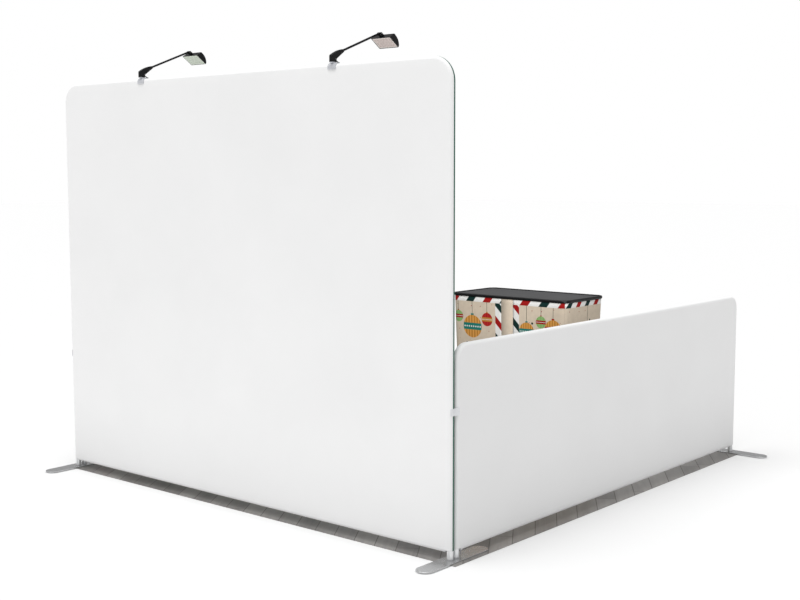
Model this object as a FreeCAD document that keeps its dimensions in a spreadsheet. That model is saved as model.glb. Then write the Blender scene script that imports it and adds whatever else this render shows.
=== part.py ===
import FreeCAD, Part
import math
import os
import types

import Sketcher

# A trade show booth: tube-framed cloth walls on three sides of a floor mat, clip-on lights, and a counter.
# Millimetres. +Z is up, the open front faces -Y, and the origin is the middle of the mat's underside.

# Driving dimensions
SIZES = [
    # Floor mat, and how far its back edge stands out behind the back wall
    ("mat_width", 3048),
    ("mat_depth", 3048),
    ("mat_thick", 3),
    ("back_border", 29.3),
    # Wall frame tubes, and the butt joints between them
    ("tube_dia", 32),
    ("tube_wall", 1.5),
    ("joint_gap", 0.3),
    ("connector_length", 120),
    ("connector_gap", 0.15),
    ("button_dia", 8),
    ("button_inset", 30),
    ("button_gap", 0.3),
    ("button_depth", 12),
    ("button_sunk", 0.8),
    # Cloth covers: thickness, clearance round the tubes, seam past the middle of the edge, hem above ground
    ("cloth_thick", 1),
    ("cloth_gap", 0.3),
    ("seam_angle", 3),
    ("seam_gap_angle", 1),
    ("hem_height", 41.3),
    ("hem_end_gap", 4),
    ("zip_width", 6),
    ("zip_gap", 0.3),
    # Zip slider and its pull
    ("slider_length", 18),
    ("slider_width", 9),
    ("slider_depth", 5),
    ("slider_lip", 2),
    ("slider_flat", 8),
    ("pull_length", 22),
    ("pull_width", 6),
    ("pull_thick", 1.6),
    ("pull_eye_dia", 3),
    # Back wall, measured over its cloth
    ("back_width", 2948),
    ("back_height", 2331),
    ("back_bend", 99),
    ("upright_joint", 1167),
    ("corner_run", 732),
    # Side walls, measured over their cloth, and the distance between the two posts at a corner
    ("side_length", 2936.6),
    ("side_height", 1022),
    ("side_bend", 65),
    ("post_spacing", 43),
    # Feet
    ("foot_length", 498),
    ("foot_width", 90),
    ("foot_thick", 6),
    ("foot_edge", 1.5),
    ("collar_thick", 5),
    ("peg_length", 60),
    ("peg_gap", 0.3),
    ("peg_chamfer", 3),
    ("screw_dia", 8),
    ("screw_gap", 0.3),
    ("screw_head_dia", 14),
    ("screw_head_thick", 3),
    ("screw_grip", 30),
    # Corner clips
    ("clip_height", 34),
    ("clip_level", 708),
    ("clip_wall", 3),
    ("clip_gap", 0.3),
    ("clip_lip", 12),
    ("clip_arm", 1),
    # Arm lights: place along the wall, how far they stand out from the clamp's tube, then the clamp
    ("lamp_spacing", 1474),
    ("lamp_set_out", 20),
    ("saddle_length", 51),
    ("saddle_skirt", 10),
    ("clamp_width", 18),
    ("clamp_wall", 5),
    ("neck_top", 7.5),
    ("neck_back", 9),
    ("neck_front", 19),
    # Driver housing: a slender wedge from the clamp up to the arm
    ("housing_width", 18),
    ("housing_edge", 3),
    ("housing_back", 9),
    ("housing_front", 28),
    ("housing_shoulder", 35),
    ("shoulder_round", 8),
    ("shoulder_angle", 57),
    ("throat_angle", 35),
    ("throat_round", 10),
    ("nose_depth", 14),
    # Arm
    ("arm_dia", 11),
    ("arm_socket", 24),
    ("arm_fit", 0.1),
    ("arm_reach", 79),
    ("arm_rise", 67),
    ("arm_angle", 21),
    ("arm_length", 294),
    ("eye_dia", 11),
    ("eye_width", 14),
    # Clamp lever
    ("lever_reach", 20),
    ("lever_height", 22),
    ("lever_length", 33.5),
    ("lever_angle", 27.7),
    ("lever_eye_dia", 9),
    ("lever_thick", 3.6),
    ("lever_width", 7),
    ("lever_tip_dia", 6),
    ("lever_gap", 0.4),
    ("lever_pin_dia", 3),
    # Lamp head, drawn from its hinge, along its face and square to it
    ("hinge_pin_dia", 4),
    ("pin_gap", 0.05),
    ("ear_thick", 5),
    ("ear_gap", 0.3),
    ("head_width", 128),
    ("head_tilt", 34.4),
    ("head_setback", 15.4),
    ("head_length", 82.4),
    ("head_drop", 15),
    ("head_height", 36.5),
    ("head_crown_reach", 30),
    ("head_brow_reach", 11),
    ("head_brow_round", 14),
    ("head_dome_round", 62),
    ("head_tip_height", 9),
    ("head_edge", 3),
    # Lens and LED board in the head's face
    ("bezel_width", 4),
    ("lens_thick", 2.5),
    ("lens_gap", 0.3),
    ("lens_ledge", 4),
    ("led_recess", 9),
    ("board_thick", 1.6),
    ("led_dia", 5),
    ("led_height", 1),
    # Counter
    ("counter_shift", -137.5),
    ("counter_setback", 217.3),
    ("counter_height", 978),
    ("counter_width", 943.6),
    ("counter_depth", 489.6),
    ("counter_corner", 59.3),
    ("counter_edge", 8),
    ("top_thick", 20),
    ("tray_rim", 12),
    ("tray_depth", 6),
    ("counter_overhang", 8),
    ("wrap_corner", 51),
    ("wrap_taper", 1.5),
    ("wrap_hem", 4),
    ("wrap_gap", 0.3),
    ("flap_gap", 97),
    ("strip_width", 142),
    ("strip_gap", 0.3),
    ("plate_gap", 2.5),
    ("base_thick", 15),
    ("shelf_thick", 12),
    ("shelf_height", 490),
    ("pole_dia", 28),
    ("pole_neck_dia", 22),
    ("pole_inset", 55),
    ("pole_gap", 0.3),
]

LED_ROWS = 3
LEDS_IN_ROW = 6

Z_AXIS = FreeCAD.Vector(0, 0, 1)
Y_AXIS = FreeCAD.Vector(0, 1, 0)
X_AXIS = FreeCAD.Vector(1, 0, 0)


class Size:
    """A length or an angle in degrees: its value now, and the sheet formula that drives it."""

    def __init__(self, value, formula):
        self.value = value
        self.formula = formula

    def __add__(self, other):
        other = as_size(other)
        return Size(self.value + other.value, f"({self.formula} + {other.formula})")

    def __sub__(self, other):
        other = as_size(other)
        return Size(self.value - other.value, f"({self.formula} - {other.formula})")

    def __mul__(self, other):
        other = as_size(other)
        return Size(self.value * other.value, f"({self.formula} * {other.formula})")

    def __truediv__(self, other):
        other = as_size(other)
        return Size(self.value / other.value, f"({self.formula} / {other.formula})")

    def __radd__(self, other):
        return as_size(other) + self

    def __rsub__(self, other):
        return as_size(other) - self

    def __rmul__(self, other):
        return as_size(other) * self

    def __neg__(self):
        return 0 - self


def as_size(number):
    if isinstance(number, Size):
        return number
    return Size(float(number), f"({float(number)})")


def sine(angle):
    return Size(math.sin(math.radians(angle.value)), f"sin({angle.formula})")


def cosine(angle):
    return Size(math.cos(math.radians(angle.value)), f"cos({angle.formula})")


def tangent(angle):
    return Size(math.tan(math.radians(angle.value)), f"tan({angle.formula})")


def square_root(area):
    return Size(math.sqrt(area.value), f"sqrt({area.formula})")


doc = FreeCAD.newDocument("TradeShowBooth")
sheet = doc.addObject("Spreadsheet::Sheet", "Sizes")
for row, (alias, value) in enumerate(SIZES, 1):
    sheet.set(f"A{row}", alias)
    sheet.set(f"B{row}", str(value))
    sheet.setAlias(f"B{row}", alias)
doc.recompute()
s = types.SimpleNamespace()
for alias, value in SIZES:
    setattr(s, alias, Size(float(sheet.get(alias)), f"Sizes.{alias}"))

nodes = []


# Drawing helpers: each size that they set is bound to the sheet

def bind(thing, name, size):
    thing.setExpression(name, as_size(size).formula)


def place(thing, x=0, y=0, z=0, turn=FreeCAD.Rotation()):
    thing.Placement = FreeCAD.Placement(FreeCAD.Vector(), turn)
    bind(thing, "Placement.Base.x", x)
    bind(thing, "Placement.Base.y", y)
    bind(thing, "Placement.Base.z", z)


def about_z(degrees):
    return FreeCAD.Rotation(Z_AXIS, degrees)


def new_body(label):
    return doc.addObject("PartDesign::Body", label)


def finish(thing, label):
    """Count a finished sub-part among the nodes that are written."""
    thing.Label = label
    nodes.append(thing)
    return thing


def new_sketch(body, plane, lift=0):
    sketch = body.newObject("Sketcher::SketchObject", body.Name + "_sketch")
    support = [part for part in body.Origin.OriginFeatures if part.Role == plane][0]
    sketch.AttachmentSupport = [(support, "")]
    sketch.MapMode = "FlatFace"
    bind(sketch, "AttachmentOffset.Base.z", lift)
    return sketch


def drive(sketch, constraint, size):
    index = sketch.addConstraint(constraint)
    sketch.setExpression(f"Constraints[{index}]", size.formula)


def pin(sketch, edge, end, x, y):
    """Fix one point of a sketch at x, y from the sketch's origin."""
    for kind, axis, size in (("DistanceX", -2, x), ("DistanceY", -1, y)):
        if isinstance(size, Size):
            drive(sketch, Sketcher.Constraint(kind, -1, 1, edge, end, size.value), size)
        else:
            sketch.addConstraint(Sketcher.Constraint("PointOnObject", edge, end, axis))


def circle(sketch, x, y, radius):
    centre = FreeCAD.Vector(as_size(x).value, as_size(y).value, 0)
    edge = sketch.addGeometry(Part.Circle(centre, Z_AXIS, radius.value))
    pin(sketch, edge, 3, x, y)
    drive(sketch, Sketcher.Constraint("Radius", edge, radius.value), radius)


def outline(sketch, corners, closed=True):
    """Join corners (x, y) by lines. A corner (x, y, radius) starts an arc, to the left if radius > 0."""
    ends = []
    count = len(corners)
    for index in range(count if closed else count - 1):
        here = corners[index]
        there = corners[(index + 1) % count]
        start = FreeCAD.Vector(as_size(here[0]).value, as_size(here[1]).value, 0)
        stop = FreeCAD.Vector(as_size(there[0]).value, as_size(there[1]).value, 0)
        if len(here) == 2:
            ends.append((sketch.addGeometry(Part.LineSegment(start, stop)), 1, 2))
            continue
        radius = here[2]
        turn = math.copysign(1, radius.value)
        chord = stop - start
        left = FreeCAD.Vector(-chord.y, chord.x, 0).normalize() * turn
        rise = math.sqrt(max(radius.value ** 2 - chord.Length ** 2 / 4, 0))
        centre = (start + stop) * 0.5 + left * rise
        first, last = (start, stop) if turn > 0 else (stop, start)
        angles = [math.atan2(point.y - centre.y, point.x - centre.x) for point in (first, last)]
        arc = Part.ArcOfCircle(Part.Circle(centre, Z_AXIS, abs(radius.value)), *angles)
        edge = sketch.addGeometry(arc)
        ends.append((edge, 1, 2) if turn > 0 else (edge, 2, 1))
        drive(sketch, Sketcher.Constraint("Radius", edge, abs(radius.value)), radius if turn > 0 else -radius)
    for index, (edge, head, tail) in enumerate(ends):
        pin(sketch, edge, head, *corners[index][:2])
        if closed or index + 1 < len(ends):
            following = ends[(index + 1) % len(ends)]
            sketch.addConstraint(Sketcher.Constraint("Coincident", edge, tail, following[0], following[1]))
        else:
            pin(sketch, edge, tail, *corners[-1][:2])


def rounded_rectangle(sketch, half_x, half_y, radius):
    outline(sketch, [
        (-half_x + radius, -half_y),
        (half_x - radius, -half_y, radius),
        (half_x, -half_y + radius),
        (half_x, half_y - radius, radius),
        (half_x - radius, half_y),
        (-half_x + radius, half_y, radius),
        (-half_x, half_y - radius),
        (-half_x, -half_y + radius, radius),
    ])


def pad(body, sketch, length, both_ways=False, back=False):
    feature = body.newObject("PartDesign::Pad", body.Name + "_pad")
    feature.Profile = sketch
    feature.Reversed = back
    if both_ways:
        feature.SideType = "Symmetric"
    bind(feature, "Length", length)
    return feature


def pocket(body, sketch, length, both_ways=False, back=False):
    """Cut a sketch into its body, and make sure that something was cut."""
    doc.recompute()
    before = body.Shape.Volume
    feature = body.newObject("PartDesign::Pocket", body.Name + "_pocket")
    feature.Profile = sketch
    feature.Reversed = back
    if both_ways:
        feature.SideType = "Symmetric"
    bind(feature, "Length", length)
    doc.recompute()
    if not body.Shape.Volume < before:
        raise RuntimeError(f"{body.Name}: a pocket cuts nothing")
    return feature


def sweep(body, section, path):
    feature = body.newObject("PartDesign::AdditivePipe", body.Name + "_sweep")
    feature.Profile = section
    feature.Spine = (path, [f"Edge{index + 1}" for index in range(path.GeometryCount)])
    return feature


def revolve(body, sketch):
    feature = body.newObject("PartDesign::Revolution", body.Name + "_turn")
    feature.Profile = sketch
    feature.ReferenceAxis = (sketch, ["V_Axis"])
    feature.Angle = 360
    return feature


def fillet(body, feature, radius, wanted):
    """Round those edges of a feature whose middle point is wanted."""
    doc.recompute()
    names = []
    for index, edge in enumerate(feature.Shape.Edges):
        if wanted(edge.valueAt((edge.FirstParameter + edge.LastParameter) / 2)):
            names.append(f"Edge{index + 1}")
    rounding = body.newObject("PartDesign::Fillet", body.Name + "_edge")
    rounding.Base = (feature, names)
    bind(rounding, "Radius", radius)
    return rounding


def group(label, members):
    compound = doc.addObject("Part::Compound", label)
    compound.Links = members
    return finish(compound, label)


# Shared places: tube and cloth radii, post and rail lines
tube_r = s.tube_dia / 2
bore_r = tube_r - s.tube_wall
cloth_in = tube_r + s.cloth_gap
cloth_out = cloth_in + s.cloth_thick
foot_z = s.mat_thick
post_z = foot_z + s.foot_thick + s.collar_thick
post_x = s.back_width / 2 - cloth_out
back_y = s.mat_depth / 2 - s.back_border - cloth_out
rear_y = back_y - s.post_spacing
front_y = rear_y + 2 * cloth_out - s.side_length
middle_y = (rear_y + front_y) / 2
back_rail_z = s.back_height - cloth_out
side_rail_z = s.side_height - cloth_out
low_rail_z = s.hem_height + cloth_out
SIDES = (("left", -1), ("right", 1))


# Floor mat
mat = new_body("floor_mat")
mat_outline = new_sketch(mat, "XY_Plane")
outline(mat_outline, [
    (-s.mat_width / 2, -s.mat_depth / 2),
    (s.mat_width / 2, -s.mat_depth / 2),
    (s.mat_width / 2, s.mat_depth / 2),
    (-s.mat_width / 2, s.mat_depth / 2),
])
pad(mat, mat_outline, s.mat_thick)
finish(mat, "floor_mat")


# Wall frames: round tubes

def tube_section(body):
    section = new_sketch(body, "XY_Plane")
    circle(section, 0, 0, tube_r)
    circle(section, 0, 0, bore_r)
    return section


def straight_tube(label, length, x, y, z, turn=FreeCAD.Rotation()):
    tube = new_body(label)
    pad(tube, tube_section(tube), length)
    place(tube, x, y, z, turn)
    return tube


def bent_tube(label, leg, bend, run, holes, x, y, z, degrees):
    """A tube that stands up, bends over and runs level, with snap-button holes in its back wall."""
    tube = new_body(label)
    section = tube_section(tube)
    path = new_sketch(tube, "XZ_Plane")
    outline(path, [(0, 0), (0, leg, -bend), (bend, leg + bend), (bend + run, leg + bend)], closed=False)
    sweep(tube, section, path)
    drilling = new_sketch(tube, "XZ_Plane")
    for across, up in holes:
        circle(drilling, across, up, s.button_dia / 2 + s.button_gap)
    pocket(tube, drilling, s.tube_dia)
    place(tube, x, y, z, about_z(degrees))
    return finish(tube, label)


ALONG_X = FreeCAD.Rotation(Y_AXIS, 90)
ALONG_Y = FreeCAD.Rotation(X_AXIS, -90)
rail_half = post_x - s.back_bend - s.corner_run
corner_leg = back_rail_z - s.back_bend - s.upright_joint
for side, sign in SIDES:
    upright = straight_tube(f"back_{side}_upright", s.upright_joint - post_z, sign * post_x, back_y, post_z)
    finish(upright, f"back_{side}_upright")
    corner_holes = [
        (0, s.button_inset),
        (s.back_bend + s.corner_run - s.button_inset, corner_leg + s.back_bend),
    ]
    bent_tube(f"back_{side}_corner_tube", corner_leg, s.back_bend, s.corner_run, corner_holes,
              sign * post_x, back_y, s.upright_joint, 90 + 90 * sign)
top_rail = straight_tube("back_top_rail", 2 * rail_half, -rail_half, back_y, back_rail_z, ALONG_X)
finish(top_rail, "back_top_rail")
back_low_half = post_x - tube_r - s.joint_gap
low_rail = straight_tube("back_bottom_rail", 2 * back_low_half, -back_low_half, back_y, low_rail_z, ALONG_X)
finish(low_rail, "back_bottom_rail")
centre_z = low_rail_z + tube_r + s.joint_gap
centre_length = back_rail_z - tube_r - s.joint_gap - centre_z
centre_post = straight_tube("back_centre_post", centre_length, 0, back_y, centre_z)
finish(centre_post, "back_centre_post")

side_leg = side_rail_z - s.side_bend - post_z
side_run = rear_y - middle_y - s.side_bend
side_low_length = rear_y - front_y - s.tube_dia - 2 * s.joint_gap
side_posts = []
for side, sign in SIDES:
    hoop_holes = [(s.side_bend + side_run - s.button_inset, side_leg + s.side_bend)]
    for end, hoop_y, degrees in (("rear", rear_y, -90), ("front", front_y, 90)):
        bent_tube(f"{side}_{end}_hoop", side_leg, s.side_bend, side_run, hoop_holes,
                  sign * post_x, hoop_y, post_z, degrees)
    side_low = straight_tube(f"{side}_bottom_rail", side_low_length,
                             sign * post_x, front_y + tube_r + s.joint_gap, low_rail_z, ALONG_Y)
    finish(side_low, f"{side}_bottom_rail")
    side_posts.append(straight_tube(f"{side}_centre_post", side_rail_z - tube_r - s.joint_gap - centre_z,
                                    sign * post_x, middle_y, centre_z))
group("side_centre_posts", side_posts)


# Connectors inside the butt joints, each with a spring button that snaps into the tube's hole

connectors = []
buttons = []


def tube_joint(name, x, y, z, turn):
    """A connector centred on a joint, with its buttons along its own +Z, pointing along its own +Y."""
    connector = new_body(name + "_connector")
    section = new_sketch(connector, "XY_Plane")
    circle(section, 0, 0, bore_r - s.connector_gap)
    pad(connector, section, s.connector_length, both_ways=True)
    seat = new_sketch(connector, "XZ_Plane", -(tube_r - s.button_depth - s.button_gap))
    circle(seat, 0, s.button_inset, s.button_dia / 2 + s.button_gap)
    pocket(connector, seat, s.tube_dia)
    place(connector, x, y, z, turn)
    connectors.append(connector)
    button = new_body(name + "_button")
    face = new_sketch(button, "XZ_Plane", -(tube_r - s.button_sunk))
    circle(face, 0, s.button_inset, s.button_dia / 2)
    pad(button, face, s.button_depth - s.button_sunk)
    place(button, x, y, z, turn)
    buttons.append(button)


LEVEL = FreeCAD.Rotation(Y_AXIS, -90)
for side, sign in SIDES:
    turn = about_z(90 + 90 * sign)
    tube_joint(f"{side}_upright", sign * post_x, back_y, s.upright_joint, turn)
    tube_joint(f"{side}_top", sign * rail_half, back_y, back_rail_z, turn * LEVEL)
    tube_joint(f"{side}_hoop", sign * post_x, middle_y, side_rail_z, about_z(-90) * LEVEL)
group("tube_connectors", connectors)
group("snap_buttons", buttons)


# Pillowcase covers: an inner and an outer cloth panel, sewn along the edge and zipped along the hem

def cover_panel(label, half, top, bend, inner, x, y, degrees):
    """Half a pillowcase: a flat face, a rim round the tubes' outer side as far as the seam, and the hem."""
    face_side = 1 if inner else -1
    seam = s.seam_angle if inner else -(s.seam_angle + s.seam_gap_angle)
    panel = new_body(label)
    face = new_sketch(panel, "XZ_Plane", -cloth_out if inner else cloth_in)
    outline(face, [
        (-half, cloth_out),
        (half, cloth_out),
        (half, top - bend, bend),
        (half - bend, top),
        (-half + bend, top, bend),
        (-half, top - bend),
    ])
    pad(panel, face, s.cloth_thick)
    rim = new_sketch(panel, "XY_Plane")
    outline(rim, [
        (-half, face_side * cloth_in),
        (-half, face_side * cloth_out, face_side * cloth_out),
        (-half - cloth_out * cosine(seam), -face_side * cloth_out * sine(seam)),
        (-half - cloth_in * cosine(seam), -face_side * cloth_in * sine(seam), -face_side * cloth_in),
    ])
    edge = new_sketch(panel, "XZ_Plane")
    outline(edge, [
        (-half, 0),
        (-half, top - bend, -bend),
        (-half + bend, top),
        (half - bend, top, -bend),
        (half, top - bend),
        (half, 0),
    ], closed=False)
    sweep(panel, rim, edge)
    zip_edge = s.zip_width / 2 + s.zip_gap
    hem = new_sketch(panel, "YZ_Plane")
    outline(hem, [
        (face_side * cloth_out, cloth_out, -face_side * cloth_out),
        (face_side * zip_edge, cloth_out - square_root(cloth_out * cloth_out - zip_edge * zip_edge)),
        (face_side * zip_edge, cloth_out - square_root(cloth_in * cloth_in - zip_edge * zip_edge),
         face_side * cloth_in),
        (face_side * cloth_in, cloth_out),
    ])
    pad(panel, hem, 2 * (half - tube_r - s.hem_end_gap), both_ways=True)
    place(panel, x, y, s.hem_height, about_z(degrees))
    finish(panel, label)


side_half = (rear_y - front_y) / 2
WALLS = (
    ("back", post_x, back_rail_z, s.back_bend, 0, back_y, 180),
    ("left", side_half, side_rail_z, s.side_bend, -post_x, middle_y, -90),
    ("right", side_half, side_rail_z, s.side_bend, post_x, middle_y, 90),
)
for wall, half, rail_z, bend, x, y, degrees in WALLS:
    cover_panel(f"{wall}_inner_cover", half, rail_z - s.hem_height, bend, True, x, y, degrees)
    cover_panel(f"{wall}_outer_cover", half, rail_z - s.hem_height, bend, False, x, y, degrees)


# Zips along the hems, and their sliders

zips = []
for wall, half, rail_z, bend, x, y, degrees in WALLS:
    chain = new_body(f"{wall}_zip")
    chain_half = half - tube_r - s.hem_end_gap
    chain_outline = new_sketch(chain, "XY_Plane")
    outline(chain_outline, [
        (-chain_half, -s.zip_width / 2),
        (chain_half, -s.zip_width / 2),
        (chain_half, s.zip_width / 2),
        (-chain_half, s.zip_width / 2),
    ])
    pad(chain, chain_outline, s.cloth_thick)
    place(chain, x, y, s.hem_height, about_z(degrees))
    zips.append(chain)

    slider = new_body(f"{wall}_zip_slider")
    slider_side = new_sketch(slider, "XZ_Plane")
    outline(slider_side, [
        (s.slider_length / 2, 0),
        (-s.slider_length / 2, 0),
        (-s.slider_length / 2, -s.slider_lip),
        (-s.slider_flat / 2, -s.slider_depth),
        (s.slider_flat / 2, -s.slider_depth),
        (s.slider_length / 2, -s.slider_lip),
    ])
    pad(slider, slider_side, s.slider_width, both_ways=True)
    pull_end = -s.slider_depth - s.pull_length
    pull = new_sketch(slider, "YZ_Plane")
    pull_round = s.pull_width / 2
    outline(pull, [
        (pull_round, -s.slider_lip),
        (-pull_round, -s.slider_lip),
        (-pull_round, pull_end + pull_round, pull_round),
        (0, pull_end, pull_round),
        (pull_round, pull_end + pull_round),
    ])
    circle(pull, 0, pull_end + pull_round, s.pull_eye_dia / 2)
    pad(slider, pull, s.pull_thick, both_ways=True)
    start = chain_half - s.slider_length
    along = {"back": (x + start, y), "left": (x, y + start), "right": (x, y + start)}[wall]
    place(slider, along[0], along[1], s.hem_height - s.zip_gap, about_z(degrees))
    finish(slider, f"{wall}_zip_slider")
group("hem_zips", zips)


# Feet: flat plates with round ends, spigots that stand in the posts, and a screw up into each spigot

spigots = []
screws = []


def spigot_and_screw(name, x, y):
    spigot = new_body(name + "_spigot")
    turned = new_sketch(spigot, "XZ_Plane")
    peg_r = bore_r - s.peg_gap
    peg_top = s.collar_thick + s.peg_length
    thread_r = s.screw_dia / 2 + s.screw_gap
    thread_top = s.screw_grip + s.screw_gap
    outline(turned, [
        (thread_r, 0),
        (tube_r, 0),
        (tube_r, s.collar_thick),
        (peg_r, s.collar_thick),
        (peg_r, peg_top - s.peg_chamfer),
        (peg_r - s.peg_chamfer, peg_top),
        (0, peg_top),
        (0, thread_top),
        (thread_r, thread_top),
    ])
    revolve(spigot, turned)
    place(spigot, x, y, foot_z + s.foot_thick)
    spigots.append(spigot)
    screw = new_body(name + "_screw")
    profile = new_sketch(screw, "XZ_Plane")
    screw_r = s.screw_dia / 2
    screw_top = s.foot_thick - s.screw_gap + s.screw_grip
    outline(profile, [
        (0, 0),
        (s.screw_head_dia / 2, 0),
        (s.screw_head_dia / 2, s.screw_head_thick),
        (screw_r, s.screw_head_thick),
        (screw_r, screw_top),
        (0, screw_top),
    ])
    revolve(screw, profile)
    place(screw, x, y, foot_z + s.screw_gap)
    screws.append(screw)


def foot(label, posts, x, y, degrees):
    """A plate along its own X, with a counterbored hole under each post."""
    plate = new_body(label)
    shape = new_sketch(plate, "XY_Plane")
    half = s.foot_length / 2
    end_r = s.foot_width / 2
    outline(shape, [
        (-half + end_r, -end_r),
        (half - end_r, -end_r, end_r),
        (half, 0, end_r),
        (half - end_r, end_r),
        (-half + end_r, end_r, end_r),
        (-half, 0, end_r),
    ])
    slab = pad(plate, shape, s.foot_thick)
    fillet(plate, slab, s.foot_edge, lambda middle: middle.z > 0.9 * s.foot_thick.value)
    for radius, depth in (
        (s.screw_dia / 2 + s.screw_gap, s.foot_thick),
        (s.screw_head_dia / 2 + s.screw_gap, s.screw_head_thick + s.screw_gap),
    ):
        bores = new_sketch(plate, "XY_Plane")
        for post in posts:
            circle(bores, post, 0, radius)
        pocket(plate, bores, depth, back=True)
    place(plate, x, y, foot_z, about_z(degrees))
    finish(plate, label)


corner_y = (back_y + rear_y) / 2
corner_posts = [-s.post_spacing / 2, s.post_spacing / 2]
for side, sign in SIDES:
    foot(f"{side}_corner_foot", corner_posts, sign * post_x, corner_y, -90)
    foot(f"{side}_front_foot", [0], sign * post_x, front_y, 0)
    spigot_and_screw(f"{side}_back", sign * post_x, back_y)
    spigot_and_screw(f"{side}_rear", sign * post_x, rear_y)
    spigot_and_screw(f"{side}_front", sign * post_x, front_y)
group("foot_spigots", spigots)
group("foot_screws", screws)


# Corner clips: one grip round the back wall's end, one round the side wall's end, at right angles

clips = []
for side, sign in SIDES:
    clip = new_body(f"{side}_clip")
    grip = cloth_out + s.clip_gap
    skin = grip + s.clip_wall
    web_y = -grip - s.clip_wall / 2
    body_outline = new_sketch(clip, "XY_Plane")
    corners = [
        (s.clip_lip, square_root(skin * skin - s.clip_lip * s.clip_lip)),
        (s.clip_lip, web_y),
        (-skin, web_y),
        (-skin, -s.post_spacing - s.clip_arm),
        (skin, -s.post_spacing - s.clip_arm),
        (skin, 0, skin),
    ]
    reach = 2 * skin
    back_slot = [(0, grip), (-reach, grip), (-reach, -grip), (0, -grip, grip), (grip, 0, grip)]
    side_top = -s.post_spacing
    side_end = -s.post_spacing - reach
    side_slot = [
        (grip, side_top, grip),
        (0, side_top + grip, grip),
        (-grip, side_top),
        (-grip, side_end),
        (grip, side_end),
    ]
    for shape in (corners, back_slot, side_slot):
        if sign < 0:
            shape[:] = [(-corner[0], corner[1], *[-radius for radius in corner[2:]]) for corner in shape]
    outline(body_outline, corners)
    pad(clip, body_outline, s.clip_height, both_ways=True)
    for slot in (back_slot, side_slot):
        slot_outline = new_sketch(clip, "XY_Plane")
        outline(slot_outline, slot)
        pocket(clip, slot_outline, 2 * s.clip_height, both_ways=True)
    place(clip, sign * post_x, back_y, s.clip_level)
    clips.append(clip)
group("corner_clips", clips)


# Arm lights: drawn as (reach into the booth, height above the wall's top)

def lamp_side(points):
    """Turn a lamp outline's reach, which runs towards -Y, into sketch points on the YZ plane."""
    return [(-point[0], point[1], *[-radius for radius in point[2:]]) for point in points]


lamp_y = back_y + s.lamp_set_out
arm_r = s.arm_dia / 2
hinge_reach = s.arm_reach + s.arm_length * cosine(s.arm_angle)
hinge_rise = s.arm_rise + s.arm_length * sine(s.arm_angle)
knuckle_width = s.eye_width + 2 * s.ear_gap + 2 * s.ear_thick
hinge_pins = []
lever_pins = []


def lamp_clamp(label, x):
    """A saddle over the wall's top tube, with a neck that carries the housing."""
    clamp = new_body(label)
    grip = cloth_out + s.clip_gap
    skin = grip + s.clamp_wall
    skirt_z = -cloth_out - s.saddle_skirt
    saddle = new_sketch(clamp, "YZ_Plane")
    outline(saddle, [
        (-skin, -cloth_out),
        (-skin, skirt_z),
        (-grip, skirt_z),
        (-grip, -cloth_out, -grip),
        (0, grip - cloth_out, -grip),
        (grip, -cloth_out),
        (grip, skirt_z),
        (skin, skirt_z),
        (skin, -cloth_out, skin),
        (0, skin - cloth_out, skin),
    ])
    pad(clamp, saddle, s.saddle_length, both_ways=True)
    neck = new_sketch(clamp, "YZ_Plane")
    neck_foot = grip - cloth_out + s.clamp_wall / 2
    neck_side = lamp_side([
        (-s.neck_back, -cloth_out + square_root(grip * grip - s.neck_back * s.neck_back) + s.clamp_wall / 2),
        (0, neck_foot),
        (s.neck_front, -cloth_out + square_root(skin * skin - s.neck_front * s.neck_front)),
        (s.neck_front - s.lamp_set_out, s.neck_top),
        (-s.neck_back - s.lamp_set_out, s.neck_top),
    ])
    outline(neck, neck_side)
    pad(clamp, neck, s.clamp_width, both_ways=True)
    place(clamp, x, back_y, s.back_height)
    finish(clamp, label)


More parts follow.
